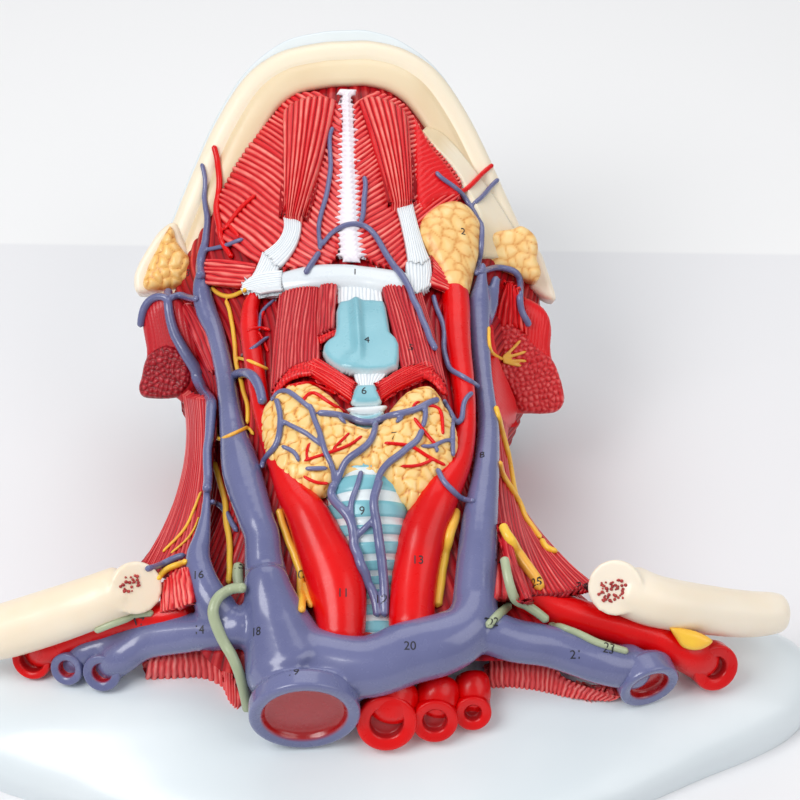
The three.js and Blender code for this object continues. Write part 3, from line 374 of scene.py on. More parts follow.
def addMouth(name, rings, facing, lumen):
    middles = rings[:, :-1].mean(axis=1)
    rows = [middles[i] + (rings[i] - middles[i]) * mouth["overlap"] for i in range(mouth["wall"], -1, -1)]
    profile = mouth["rim"] + [(lumen * (1 + share), rise) for share, rise in mouth["floor"]]
    rows += [middles[0] + (rings[0] - middles[0]) * share + facing * proud for share, proud in profile]
    rows = np.array(rows)
    piece, _, _, i, j = addSheet(name, rows)
    setPoints(piece, rows[i, j])
    mark(piece, "lumen", (i > mouth["wall"] + len(mouth["rim"]) + 1).astype(float))
    sewShut(piece)
    applyModifier(piece, "SUBSURF", levels=1, render_levels=1)
    return piece


# Rounded strands with narrow grooves
strandForm = {
    "wander": (9, 5),  # how often strands sway, across and along
    "roundness": 0.7,
    "heights": (0.65, 1),
    "ripple": 0.1,
    "rippleReach": (2.1, 9),
}


def fibreCrests(seed, s, t, fibres, sway):  # height shares of the strands, and a tone for each
    random = np.random.default_rng(seed)
    across, along = strandForm["wander"]
    phase = s * fibres + sway * waves(seed, s * across, t * along)
    strand = np.clip(np.floor(phase).astype(int), 0, fibres) % (fibres + 1)
    crest = np.abs(np.sin(math.pi * phase)) ** strandForm["roundness"]
    full = random.uniform(*strandForm["heights"], fibres + 1)[strand]
    across, along = strandForm["rippleReach"]
    ripple = strandForm["ripple"] * waves(seed + 1, strand * across, t * along)
    return crest * (full + ripple), random.uniform(0, 1, fibres + 1)[strand]


def fibrePatch(name, fibreRows, fibres, seed, rim=-1, crown=2, across=1, along=0, relief=0.35,
               detail=7, rowLength=1.3, thickness=1.6, sway=0.2, fray=0):
    # a row is one fibre, from (u, v) to (u, v); six numbers bend it through a middle place
    rows = np.array(fibreRows, float)
    if rows.shape[1] == 4:
        rows = np.hstack([rows[:, :2], (rows[:, :2] + rows[:, 2:]) / 2, rows[:, 2:]])
    acrossStep, alongStep = rows[-1, 2:4] - rows[0, 2:4], rows[0, 4:6] - rows[0, 0:2]
    if acrossStep[0] * alongStep[1] - acrossStep[1] * alongStep[0] < 0:
        rows = rows[::-1]
    reach = runAlong(rows[:, 2:4] * neckScale)
    lengths = np.linalg.norm((rows[:, 4:6] - rows[:, 0:2]) * neckScale, axis=1)
    piece, s, t = addGrid(name, fibres * detail, max(int(lengths.max() / rowLength), 6))
    start = curveAt(reach / reach[-1], rows, s)
    crest, tone = fibreCrests(seed, s, t, fibres, sway)
    stretch = t + fray * (tone - 0.5) * t  # uneven strand ends
    place = bent(start[:, 0:2], start[:, 2:4], start[:, 4:6], stretch[:, None])
    lift = rim + crown * crowned(s) ** across * crowned(t) ** along + relief * crest
    setPoints(piece, neckPlace(place[:, 0], place[:, 1], lift))
    mark(piece, "relief", crest)
    thicken(piece, thickness)
    return piece


def nearestOn(x, y, corners):  # nearest places of an outline, and millimetres in from it, negative outside
    corners = np.array(corners, float)
    depth, nearX, nearY = np.full(len(x), math.inf), np.array(x, float), np.array(y, float)
    inside = np.zeros(len(x), bool)
    for (x0, y0), (x1, y1) in zip(corners, np.roll(corners, -1, axis=0)):
        spanX, spanY = x1 - x0, y1 - y0
        share = np.clip(((x - x0) * spanX + (y - y0) * spanY) / (spanX ** 2 + spanY ** 2), 0, 1)
        spotX, spotY = x0 + share * spanX, y0 + share * spanY
        away = np.hypot(x - spotX, y - spotY)
        closer = away < depth
        depth = np.where(closer, away, depth)
        nearX, nearY = np.where(closer, spotX, nearX), np.where(closer, spotY, nearY)
        crossing = (y0 > y) != (y1 > y)
        if spanY:
            inside ^= crossing & (x < spanX * (y - y0) / spanY + x0)
    return nearX, nearY, np.where(inside, depth, -depth)


def roundedOutline(corners, samples=72):
    closed = np.array(list(corners) + [corners[0]], float)
    reach = runAlong(closed)
    return curveAt(reach, closed, np.linspace(0, reach[-1], samples, endpoint=False))


# Outlined patches: shares of their pitch, then millimetres in from the rim
patchForm = {"margin": 1.3, "weld": 0.12, "textureFade": 0.8, "rimReach": 1.2}


def reliefPatch(name, corners, pitch=0.5, rim=-1.5, crown=2, edge=3, texture=None, thickness=1.5,
                smooth=True, plane=None):
    corners = roundedOutline(corners) if smooth else np.array(corners, float)
    margin = pitch * patchForm["margin"]
    low, high = corners.min(axis=0) - margin, corners.max(axis=0) + margin
    count = np.maximum(((high - low) / pitch).astype(int), 4)
    piece, s, t = addGrid(name, count[0], count[1])
    x, y = low[0] + s * (high[0] - low[0]), low[1] + t * (high[1] - low[1])
    nearX, nearY, depth = nearestOn(x, y, corners)
    unwanted = depth < -margin
    x, y, depth = np.where(depth < 0, nearX, x), np.where(depth < 0, nearY, y), np.maximum(depth, 0)
    lift, crest = rim + crown * rounded(depth / edge), np.ones(len(x))
    if texture is not None:
        height, crest = texture(x, y, depth)
        lift = lift + height * np.clip(depth / patchForm["textureFade"], 0, 1)
    if plane is None:
        setPoints(piece, neckPlace(x / neck["halfWidth"], y / neck["length"], lift))
    else:
        setPoints(piece, plane["place"] + np.outer(x, plane["side"]) + np.outer(y, plane["up"])
                  + np.outer(lift, plane["facing"]))
    mark(piece, "relief", crest)
    mark(piece, "rimward", 1 - np.clip(depth / patchForm["rimReach"], 0, 1))
    trimPoints(piece, unwanted)
    applyModifier(piece, "WELD", merge_threshold=pitch * patchForm["weld"] * mm)
    if plane is None:
        thicken(piece, thickness)
    else:
        extrudeBack(piece, -plane["facing"] * thickness)
    return piece


# Paints
def paint(red, green, blue):  # picture values 0 to 255 to the linear values of a shader
    values = [channel / 255 for channel in (red, green, blue)]
    return tuple(c / 12.92 if c <= 0.04045 else ((c + 0.055) / 1.055) ** 2.4 for c in values) + (1,)


def newGroup(name, inputs, outputs):
    kinds = {float: "NodeSocketFloat", tuple: "NodeSocketColor"}
    group = bpy.data.node_groups.new(name, "ShaderNodeTree")
    for title, value in inputs:
        socket = group.interface.new_socket(title, in_out="INPUT", socket_type=kinds[type(value)])
        socket.default_value = value
    for title, kind in outputs:
        group.interface.new_socket(title, in_out="OUTPUT", socket_type=kinds[kind])
    return group, group.nodes.new("NodeGroupInput").outputs, group.nodes.new("NodeGroupOutput").inputs


def feed(tree, socket, value):  # from another node, or a plain value
    if isinstance(value, bpy.types.NodeSocket):
        tree.links.new(value, socket)
    else:
        socket.default_value = value


def mixColours(tree, factor, first, second):
    node = tree.nodes.new("ShaderNodeMix")
    node.data_type = "RGBA"
    for socket, value in zip((node.inputs["Factor"], node.inputs[6], node.inputs[7]), (factor, first, second)):
        feed(tree, socket, value)
    return node.outputs[2]


def rangeOf(tree, value, fromLow, fromHigh, toLow=0, toHigh=1):
    node = tree.nodes.new("ShaderNodeMapRange")
    titles = ("Value", "From Min", "From Max", "To Min", "To Max")
    for title, given in zip(titles, (value, fromLow, fromHigh, toLow, toHigh)):
        feed(tree, node.inputs[title], given)
    return node.outputs["Result"]


def noiseOf(tree, size, detail=3):
    coordinates = tree.nodes.new("ShaderNodeTexCoord")
    noise = tree.nodes.new("ShaderNodeTexNoise")
    values = (("Vector", coordinates.outputs["Object"]), ("Scale", size), ("Detail", detail))
    for title, value in values:
        feed(tree, noise.inputs[title], value)
    return noise.outputs["Fac"]


def attributeOf(tree, name):
    node = tree.nodes.new("ShaderNodeAttribute")
    node.attribute_name = name
    return node.outputs["Fac"]


# Hand-brushed paint: soft patches of a second tone, uneven gloss, fine strokes
brush = {"patchLimits": (0.38, 0.64), "strokeSize": 420, "strokeLimits": (0.3, 0.7), "strokeDepth": 0.06}


def buildBrushGroup():
    group, given, result = newGroup(
        "brushedPaint",
        [("Paint", (1, 1, 1, 1)), ("Second", (1, 1, 1, 1)), ("Patch Size", 60.0), ("Gloss Low", 0.2),
         ("Gloss High", 0.3)],
        [("Colour", tuple), ("Roughness", float), ("Strokes", float)])
    amount = rangeOf(group, noiseOf(group, given["Patch Size"]), *brush["patchLimits"])
    fine = noiseOf(group, brush["strokeSize"], 2)
    gloss = rangeOf(group, fine, *brush["strokeLimits"], given["Gloss Low"], given["Gloss High"])
    feed(group, result["Colour"], mixColours(group, amount, given["Paint"], given["Second"]))
    feed(group, result["Roughness"], gloss)
    feed(group, result["Strokes"], fine)
    return group


# Strands: painted shade darkens the grooves, flesh on the slopes, and a mottled lighter line along each crest that is
# partly the paint's pale stripes and partly painted highlight
strandPaint = {"grooveStart": 0.1, "crestFull": 0.97, "mottleSize": 260, "mottleLimits": (0.3, 0.7, 0.45, 1),
               "roughness": (0.5, 0.3), "grainSize": 900, "grainStrength": 0.3, "grainDepth": 0.05}


def buildStrandShadingGroup():
    group, given, result = newGroup(
        "strandPaint",
        [("Groove", (0, 0, 0, 1)), ("Flesh", (0, 0, 0, 1)), ("Crest", (0, 0, 0, 1)), ("Groove Reach", 0.55),
         ("Crest Start", 0.7)],
        [("Colour", tuple), ("Roughness", float)])
    relief = attributeOf(group, "relief")
    grooveShadeAmount = rangeOf(group, relief, strandPaint["grooveStart"], given["Groove Reach"])
    onCrestHighlight = rangeOf(group, relief, given["Crest Start"], strandPaint["crestFull"])
    mottle = rangeOf(group, noiseOf(group, strandPaint["mottleSize"]), *strandPaint["mottleLimits"])
    crestHighlightAmount = group.nodes.new("ShaderNodeMath")
    crestHighlightAmount.operation = "MULTIPLY"
    feed(group, crestHighlightAmount.inputs[0], onCrestHighlight)
    feed(group, crestHighlightAmount.inputs[1], mottle)
    flesh = mixColours(group, grooveShadeAmount, given["Groove"], given["Flesh"])
    feed(group, result["Colour"], mixColours(group, crestHighlightAmount.outputs[0], flesh, given["Crest"]))
    feed(group, result["Roughness"], rangeOf(group, relief, 0, 1, *strandPaint["roughness"]))
    return group


brushGroup = buildBrushGroup()
strandShadingGroup = buildStrandShadingGroup()


def startMaterial(name, coat=0.0, coatRoughness=0.1, specular=0.5, soft=0.0, softColour=(1, 0.3, 0.2)):
    material = bpy.data.materials.new(name)
    material.use_nodes = True
    shader = material.node_tree.nodes["Principled BSDF"]
    values = {"Coat Weight": coat, "Coat Roughness": coatRoughness, "Specular IOR Level": specular}
    if soft:
        values.update({"Subsurface Weight": soft, "Subsurface Radius": softColour, "Subsurface Scale": 1.2 * mm})
    for title, value in values.items():
        shader.inputs[title].default_value = value
    return material, material.node_tree, shader


def useGroup(tree, group, *values):
    node = tree.nodes.new("ShaderNodeGroup")
    node.node_tree = group
    for socket, value in zip(node.inputs, values):
        socket.default_value = value
    return node.outputs


def finishMaterial(tree, shader, colour, roughness, height, strength, distance):
    bump = tree.nodes.new("ShaderNodeBump")
    feed(tree, bump.inputs["Strength"], strength)
    feed(tree, bump.inputs["Distance"], distance * mm)
    feed(tree, bump.inputs["Height"], height)
    for title, value in (("Base Color", colour), ("Roughness", roughness), ("Normal", bump.outputs["Normal"])):
        feed(tree, shader.inputs[title], value)


def brushedMaterial(name, main, second, patchSize, gloss, coat, bump, lumen=None, edge=None, bands=None, **look):
    material, tree, shader = startMaterial(name, coat, **look)
    brushed = useGroup(tree, brushGroup, paint(*main), paint(*second), patchSize, *gloss)
    colour = brushed["Colour"]
    # further colours where the piece's relief is high, along its rim and inside its cut end
    layers = ((bands, "relief", 0.35, 0.6), (edge, "rimward", 0.25, 0.8), (lumen, "lumen", 0, 1))
    for further, attribute, low, high in layers:
        if further:
            amount = rangeOf(tree, attributeOf(tree, attribute), low, high)
            colour = mixColours(tree, amount, colour, paint(*further))
    finishMaterial(tree, shader, colour, brushed["Roughness"], brushed["Strokes"], bump, brush["strokeDepth"])
    return material


def strandMaterial(name, groove, flesh, crest, grooveReach, crestStart, coat=0.25):
    material, tree, shader = startMaterial(name, coat, coatRoughness=0.2, specular=0.3)
    strands = useGroup(tree, strandShadingGroup, paint(*groove), paint(*flesh), paint(*crest), grooveReach, crestStart)
    finishMaterial(tree, shader, strands["Colour"], strands["Roughness"], noiseOf(tree, strandPaint["grainSize"], 2),
                   strandPaint["grainStrength"], strandPaint["grainDepth"])
    return material


looks = {
    "shell": brushedMaterial("shellPaint", (222, 231, 235), (230, 237, 240), 18, (.28, .36), .2, .1),
    "cover": brushedMaterial("coverPaint", (212, 220, 224), (220, 227, 230), 22, (.4, .5), .05, .15),
    "plate": brushedMaterial("platePaint", (222, 231, 235), (230, 237, 241), 25, (.28, .36), .2, .1),
    "jaw": brushedMaterial("jawPaint", (238, 219, 184), (229, 206, 168), 34, (.32, .42), .15, .3,
                           bands=(246, 233, 208), soft=.12, softColour=(1, .75, .5)),
    "bone": brushedMaterial("bonePaint", (249, 236, 216), (244, 226, 198), 34, (.32, .42), .15, .3,
                            soft=.12, softColour=(1, .75, .5)),
    # lumen colours: a vein's red inside is paint; the darkness of the lumens, and the arteries' darker red, is painted
    # shade in the sunk floor
    "vein": brushedMaterial("veinPaint", (108, 112, 154), (98, 102, 144), 60, (.22, .3), .5, .15,
                            lumen=(172, 8, 14)),
    "artery": brushedMaterial("arteryPaint", (230, 2, 4), (214, 2, 6), 60, (.26, .34), .15, .15, specular=.3,
                              lumen=(168, 26, 30)),
    "trachea": brushedMaterial("tracheaPaint", (232, 240, 242), (222, 234, 236), 60, (.25, .35), .3, .2,
                               bands=(124, 188, 200)),
    "cartilage": brushedMaterial("cartilagePaint", (142, 198, 210), (122, 182, 196), 50, (.25, .34), .3, .2,
                                 edge=(206, 226, 230)),
    # strand looks: each groove colour is painted shade in the creases, each crest colour partly the paint's pale
    # stripes and partly painted highlight
    "white": strandMaterial("tendonPaint", (190, 200, 210), (232, 237, 240), (247, 249, 250), .5, .6, .2),
    "raphe": strandMaterial("raphePaint", (206, 176, 196), (236, 226, 236), (249, 246, 249), .5, .6, .2),
    "hyoid": brushedMaterial("hyoidPaint", (229, 235, 238), (218, 226, 232), 40, (.25, .34), .3, .2),
    "muscle": strandMaterial("musclePaint", (160, 0, 8), (228, 10, 20), (252, 108, 98), .45, .74),
    "muscleBold": strandMaterial("boldMusclePaint", (136, 0, 12), (222, 26, 36), (253, 152, 138), .45, .58),
    # the sunk bed's darker red is painted shade in the gaps between the muscles
    "muscleShadedDeep": strandMaterial("deepMuscleShadePaint", (98, 0, 10), (172, 8, 22), (226, 72, 68), .5, .8),
    "musclePale": strandMaterial("paleMusclePaint", (124, 4, 18), (196, 26, 38), (242, 116, 110), .5, .68),
    "ribs": strandMaterial("ribMusclePaint", (186, 30, 36), (232, 70, 72), (250, 146, 138), .5, .62),
    "muscleCut": strandMaterial("cutMusclePaint", (84, 0, 10), (160, 6, 26), (206, 56, 66), .5, .72),
    "muscleCutPale": strandMaterial("paleCutMusclePaint", (176, 6, 16), (218, 34, 42), (242, 108, 104), .5, .7),
    "gland": strandMaterial("glandPaint", (196, 98, 30), (246, 192, 104), (253, 218, 150), .6, .65, .3),
    "saliva": strandMaterial("salivaPaint", (222, 150, 74), (249, 202, 128), (253, 220, 156), .6, .7, .3),
    "parotid": strandMaterial("parotidPaint", (206, 128, 54), (246, 192, 108), (251, 212, 142), .55, .7, .3),
    "nerve": brushedMaterial("nervePaint", (250, 200, 60), (245, 180, 66), 90, (.3, .4), .2, .2),
    "lymph": brushedMaterial("lymphPaint", (176, 186, 152), (160, 172, 138), 90, (.3, .4), .2, .3),
    "marrow": brushedMaterial("marrowPaint", (196, 70, 62), (160, 34, 34), 300, (.35, .45), .1, .3),
    "ink": brushedMaterial("inkPaint", (26, 24, 30), (40, 38, 46), 200, (.4, .5), .05, .1),
}


def settle(piece, look, slot, *nodes, angle=None):
    piece.data.materials.clear()
    piece.data.materials.append(looks[look])
    activate(piece)
    if angle is None:
        bpy.ops.object.shade_smooth()
    else:
        bpy.ops.object.shade_smooth_by_angle(angle=math.radians(angle))
    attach(piece, "root")
    if nodes:
        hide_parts(*nodes)
    return piece


# Camera: set first, because thin vessels and numbers are laid on by where it sees them
view = {
    "turn": 3.0,
    "tilt": 40.0,
    "roll": -0.4,
    "distance": 520,
    "target": (8.5, 76, 50),  # y from the neck's share 0
    "focus": 2130,  # focal length in pixels of an 800 pixel picture
    "picture": 800,
    "sensor": 36,
    "near": 380,  # millimetres from the camera between which the neck is looked for
    "far": 640,
    "clipStart": 10,
}
turn, tilt, roll = (math.radians(view[key]) for key in ("turn", "tilt", "roll"))
forward = np.array([math.sin(turn) * math.cos(tilt), math.cos(turn) * math.cos(tilt), -math.sin(tilt)])
level = np.array([math.cos(turn), -math.sin(turn), 0])
upright = np.cross(level, forward)
rightward = math.cos(roll) * level + math.sin(roll) * upright
upward = -math.sin(roll) * level + math.cos(roll) * upright
target = np.array(view["target"]) + [0, neck["startY"], 0]
eye = target - view["distance"] * forward

bpy.ops.object.camera_add()
camera = bpy.context.object
camera.matrix_world = Matrix.Translation(Vector(eye * mm)) @ Matrix(
    [[rightward[i], upward[i], -forward[i]] for i in range(3)]).to_4x4()
camera.data.sensor_width = view["sensor"]
camera.data.lens = view["sensor"] * view["focus"] / view["picture"]
camera.data.clip_start = view["clipStart"] * mm
bpy.context.scene.camera = camera


def pictureRay(x, y):
    middle = view["picture"] / 2
    return unit(forward + rightward * (x - middle) / view["focus"] - upward * (y - middle) / view["focus"])


def seenAt(x, y, height):  # the place at a height in millimetres that the camera sees at a picture point
    ray = pictureRay(x, y)
    return eye + ray * (height - eye[2]) / ray[2]


def seenShares(pixels, lift=0):  # the neck's shares that the camera sees at picture points
    rays = np.array([pictureRay(x, y) for x, y in np.reshape(pixels, (-1, 2))])
    points = eye + rays[:, None] * np.arange(view["near"], view["far"])[:, None]
    u, v = points[..., 0] / neck["halfWidth"], (points[..., 1] - neck["startY"]) / neck["length"]
    over = points[..., 2] - neck["foot"] - riseAt(v) * sectionAt(u, v)[1] - lift
    under = over < 0
    hit = np.where(under.any(axis=1), np.argmax(under, axis=1), np.argmin(over, axis=1))
    row, i = np.arange(len(rays)), np.maximum(hit, 1)
    share = np.clip(over[row, i - 1] / (over[row, i - 1] - over[row, i]), 0, 1)
    found = [column[row, i - 1] + share * (column[row, i] - column[row, i - 1]) for column in (u, v)]
    return np.stack(found, -1).reshape(np.shape(pixels))


def seenOutline(pixels, lift=0):
    return seenShares(pixels, lift) * neckScale


def makePlane(place, facing):
    facing = unit(facing)
    side = unit(np.cross([0, 0, 1], facing))
    return {"place": np.asarray(place, float), "facing": facing, "side": side, "up": np.cross(facing, side)}


def seenOnPlane(plane, x, y, lift=0):
    ray = pictureRay(x, y)
    away = np.dot(plane["place"] + plane["facing"] * lift - eye, plane["facing"])
    return eye + ray * away / np.dot(ray, plane["facing"])


def planeOutline(plane, pixels):
    spots = np.array([seenOnPlane(plane, x, y) for x, y in pixels]) - plane["place"]
    return np.stack([spots @ plane["side"], spots @ plane["up"]], -1)


def fibreSheet(name, strands, fibres, seed, plane=None, crown=1.5, relief=0.5, detail=8, rowLength=1.3,
               thickness=2, sway=0.3, step=0.01):
    # each strand is one fibre through three places: picture points, each with its height or lift from a plane
    def spot(x, y, rise):
        return seenAt(x, y, rise) if plane is None else seenOnPlane(plane, x, y, rise)

    lines = np.array([[spot(*strand[k:k + 3]) for k in (0, 3, 6)] for strand in strands])
    if np.dot(np.cross(lines[-1, 1] - lines[0, 1], lines[0, 2] - lines[0, 0]), forward) > 0:
        lines = lines[::-1]
    reach = runAlong(lines[:, 1])

    def placeAt(s, t):
        return bent(*(curveAt(reach, lines[:, k], s * reach[-1]) for k in range(3)), t[:, None])

    length = np.linalg.norm(np.diff(lines, axis=1), axis=2).sum(axis=1).max()
    piece, s, t = addGrid(name, fibres * detail, max(int(length / rowLength), 6))
    acrossStep = placeAt(np.minimum(s + step, 1), t) - placeAt(np.maximum(s - step, 0), t)
    alongStep = placeAt(s, np.minimum(t + step, 1)) - placeAt(s, np.maximum(t - step, 0))
    crest, _ = fibreCrests(seed, s, t, fibres, sway)
    lift = crown * (crowned(s) ** .5 - 1) + relief * crest
    setPoints(piece, placeAt(s, t) + unit(np.cross(acrossStep, alongStep)) * lift[:, None])
    mark(piece, "relief", crest)
    thicken(piece, thickness)
    return piece


# Domed shell, cover and the plate behind the jaw
shell = {
    "rimHeight": 3,
    "floor": 0.05,
    "sheet": 0.8,  # thickness of the painted skin
    "fromShare": -0.11,
    "toShare": 0.52,
    "roundness": 2.6,
    "rows": 110,
    "columns": 120,
    "crowding": 1.5,
    "halfWidth": [(-.11, .26), (-.105, .56), (-.09, .84), (-.07, 1.08), (-.05, 1.26), (-.025, 1.48), (0, 1.72),
                  (.025, 1.9), (.05, 2), (.09, 2.08), (.13, 2.08), (.16, 1.98), (.19, 1.64), (.21, 1.28),
                  (.24, .94), (.28, .76), (.34, .7), (.52, .7)],
    "height": [(-.11, .01), (-.1, .045), (-.085, .065), (-.06, .085), (-.03, .105), (0, .13), (.03, .158),
               (.06, .172), (.1, .18), (.13, .185), (.16, .17), (.2, .12), (.25, .07), (.3, .045), (.52, .045)],
}


def shellHalfWidth(v):
    return neck["halfWidth"] * valueAt(shell["halfWidth"], v)


def shellHeight(x, v):
    across = np.minimum(np.abs(x) / shellHalfWidth(v), 1)
    domed = (1 - across ** shell["roundness"]) ** (1 / shell["roundness"])
    return shell["rimHeight"] + neck["height"] * valueAt(shell["height"], v) * domed


def makeShell():
    piece, s, t = addGrid("domed_shell", shell["columns"], shell["rows"])
    v = shell["fromShare"] + (shell["toShare"] - shell["fromShare"]) * t ** shell["crowding"]
    turnAcross = (s - 0.5) * math.pi
    x = shellHalfWidth(v) * np.sign(turnAcross) * np.abs(np.sin(turnAcross)) ** (2 / shell["roundness"])
    y = v * neck["length"] + neck["startY"]
    hair = 1e-6
    rim = (s < hair) | (s > 1 - hair) | (t < hair)
    setPoints(piece, np.stack([x, y, np.where(rim, shell["floor"], shellHeight(x, v))], -1))
    thicken(piece, shell["sheet"])
    return settle(piece, "shell", "base", "base_shell", angle=50)


makeShell()
frame["nodes"]["back_cover"].data.materials[0] = looks["cover"]

jaw = {
    "origin": (0, 0.825, 0.935),
    "lean": 0.774,
    "depthSlope": 0.527,
    "depth": 20,
    "outer": [(-1.1, -1.06), (-.98, -.78), (-.84, -.46), (-.7, -.18), (-.54, .05), (-.36, .17), (-.14, .215),
              (0, .22), (.14, .215), (.32, .16), (.48, .04), (.61, -.16), (.72, -.4), (.86, -.76), (1, -1.1)],
    # section across the bar: millimetres out and back, then 1 where the outer flange is painted paler
    "section": [(-12.5, 20, 0), (-12.5, 12, 0), (-12.5, 5, 0), (-12.3, 2.2, 0), (-11.6, .8, 0), (-10.4, .15, 0),
                (-9, 0, 0), (-7.6, .1, 0), (-6.4, .4, 0), (-5.6, .9, 0), (-5.1, 1.35, .3), (-4.6, 1.25, 1),
                (-3.8, 1.1, 1), (-2.4, 1.2, 1), (-1.2, 1.7, 1), (-.35, 2.7, 1), (0, 4.4, 1), (0, 9, 1),
                (0, 14, 1), (0, 20, 1)],
    "samples": 150,
    "sectionSamples": 77,
    "grooveFade": (1, 9),  # rows from each end over which the groove fades out
    "grooveTop": .9,
    "grooveDepth": .5,
    "uneven": .12,
    "unevenReach": 6,
    "seed": 5,
    "plateThickness": 7,
    "plateRim": .8,
    "chinRim": 2.2,
    "chinPower": 8,  # how closely the wider rim keeps to the chin
    "plateRound": .7,
    "plateRoundSteps": 6,
    "plateSamples": 120,
    "footHalfWidth": 34,
    "waistShare": 0.45,
    "fitGap": 0.3,
}


def jawUp():
    return np.array([0, math.cos(jaw["lean"]), math.sin(jaw["lean"])])


def jawPlace(across, up, back):
    across, up, back = spread(across, up, back)
    slope = jaw["depthSlope"]
    return (freePlace(*jaw["origin"]) + across[..., None] * np.array([1, 0, 0]) + up[..., None] * jawUp()
            + back[..., None] * np.array([0, math.cos(slope), -math.sin(slope)]))


def jawPlane(proud):  # the plane of the jaw's front, moved forward
    return makePlane(jawPlace(0, 0, -proud), np.cross([1, 0, 0], jawUp()))


def jawLine(samples):
    outer = np.array(jaw["outer"]) * neck["halfWidth"]
    path = smoothPath(np.c_[outer, np.zeros(len(outer))], 0.5)[0][:, :2]
    line = straightAt(np.arange(len(path)), path, np.linspace(0, len(path) - 1, samples + 1))
    tangent = unit(np.gradient(line, axis=0))
    return line, np.stack([-tangent[:, 1], tangent[:, 0]], -1)


def makeMandible():
    line, outward = jawLine(jaw["samples"])
    section = np.array(jaw["section"])
    section = curveAt(np.arange(len(section)), section, np.linspace(0, len(section) - 1, jaw["sectionSamples"]))
    piece, s, t = addGrid("jaw_bone", len(line) - 1, len(section))
    i, j = np.rint(s * (len(line) - 1)).astype(int), np.rint(t * len(section)).astype(int) % len(section)
    groove = smoothStep(*jaw["grooveFade"], np.minimum(s, 1 - s) * len(line))
    back = section[j, 1] - (1 - groove) * np.clip(section[j, 1] - jaw["grooveTop"], 0, jaw["grooveDepth"])
    across, up = (line[i] + outward[i] * section[j, 0][:, None]).T
    uneven = jaw["uneven"] * waves(jaw["seed"], across / jaw["unevenReach"], up / jaw["unevenReach"])
    setPoints(piece, jawPlace(across, up, back + uneven))
    mark(piece, "relief", section[j, 2])
    sewShut(piece)
    return settle(piece, "jaw", "bone", "mandible", angle=50)


makeMandible()


def makeJawPlate():
    line, outward = jawLine(jaw["plateSamples"])
    rim, rounding, steps = jaw["plateRim"], jaw["plateRound"], jaw["plateRoundSteps"]
    chinward = np.maximum(outward[:, 1], 0) ** jaw["chinPower"] * jaw["chinRim"]
    rings = [(-rim, 0)]
    for angle in np.linspace(0, math.pi / 2, steps + 1):
        rings.append((rim - rounding + rounding * math.sin(angle), rounding - rounding * math.cos(angle)))
    rings += [(reach, jaw["plateThickness"] - back) for reach, back in rings[:0:-1]]
    rows = []
    for reach, back in rings:
        arch = line + outward * (reach + chinward)[:, None]
        depth = jaw["depth"] + jaw["fitGap"] + back
        points = jawPlace(arch[:, 0], arch[:, 1], depth)
        behind = jawPlace(0, 0, depth)
        foot = behind - jawUp() * behind[2] / jawUp()[2]
        first, last = (foot + [side * jaw["footHalfWidth"], 0, 0] for side in (-1, 1))
        waists = [end + (corner - end) * jaw["waistShare"] for end, corner in ((first, points[0]), (last, points[-1]))]
        rows.append(np.concatenate([[first, waists[0]], points, [waists[1], last, first]]))
    rows = np.array(rows)
    piece, _, _, i, j = addSheet("jaw_back_plate", rows)
    setPoints(piece, rows[i, j])
    sewShut(piece)
    return settle(piece, "plate", "base", "jaw_plate", angle=35)


makeJawPlate()
print("stand and jaw done")

# Flesh under everything, so that no gap between the muscles shows a hole; it is painted darker than the muscles, as
# painted shade in those gaps, and it ends flush with the jaw's back plate
bed = {
    "front": .03,
    "sideFront": .112,
    "sideFrontRange": (.4, .7),
    "toShare": .87,
    "lift": -1.7,
    "sideLift": -6.5,
    "sideLiftRange": (.62, .9),
    "reach": 1.06,
    "inset": .9995,
    "halfTurns": 1.16,  # what is past one half turn becomes the walls that stand on the table side
    "wallBlend": .08,
    "foot": 1,
    "fibres": 84,
    "detail": 6,
    "rows": 150,
    "relief": .4,
    "sway": .5,
    "seed": 3,
}


def makeBed():
    piece, s, t = addGrid("deep_muscle_bed", bed["fibres"] * bed["detail"], bed["rows"])
    angle = np.clip((s - 0.5) * bed["halfTurns"], -0.5, 0.5) * math.pi
    side = np.sign(angle)
    across = np.abs(np.sin(angle)) ** (2 / neck["roundness"])
    front = bed["front"] + (bed["sideFront"] - bed["front"]) * smoothStep(*bed["sideFrontRange"], across)
    v = front + (bed["toShare"] - front) * t
    u = side * across * flankAt(side, v) / neck["halfWidth"] * bed["inset"]
    u = np.clip(u, -bed["reach"], bed["reach"])
    crest, _ = fibreCrests(bed["seed"], s, t, bed["fibres"], bed["sway"])
    sideways = smoothStep(*bed["sideLiftRange"], np.abs(angle) * 2 / math.pi)
    lift = bed["lift"] + (bed["sideLift"] - bed["lift"]) * sideways
    points = neckPlace(u, v, lift + bed["relief"] * crest)
    below = np.clip((np.abs(s - 0.5) * bed["halfTurns"] - 0.5) / bed["wallBlend"], 0, 1)
    points[:, 2] = points[:, 2] * (1 - below) + bed["foot"] * below
    setPoints(piece, points)
    mark(piece, "relief", crest)
    sewShut(piece)
    startEdit(piece)
    cut = jawPlane(-jaw["depth"])
    bpy.ops.mesh.bisect(plane_co=cut["place"] * mm, plane_no=cut["facing"], clear_inner=True, use_fill=True)
    bpy.ops.object.mode_set(mode="OBJECT")
    return settle(piece, "muscleShadedDeep", "core", "neck_core", angle=60)


makeBed()


# Bands and sheets of fibres are rows of a name, a look, the replaced nodes, a seed, how many strands there are and
# fibres as the camera sees them: a first and a last place, or three places
def makeBands(bands, slot, lift, **form):
    for name, look, nodes, seed, fibres, seen in bands:
        settle(fibrePatch(name, seenShares(seen, lift), fibres, seed, **form), look, slot, *nodes)


def makeSheets(sheets, **form):
    for name, look, nodes, seed, fibres, strands in sheets:
        settle(fibreSheet(name, strands, fibres, seed, **form), look, "muscle", *nodes)


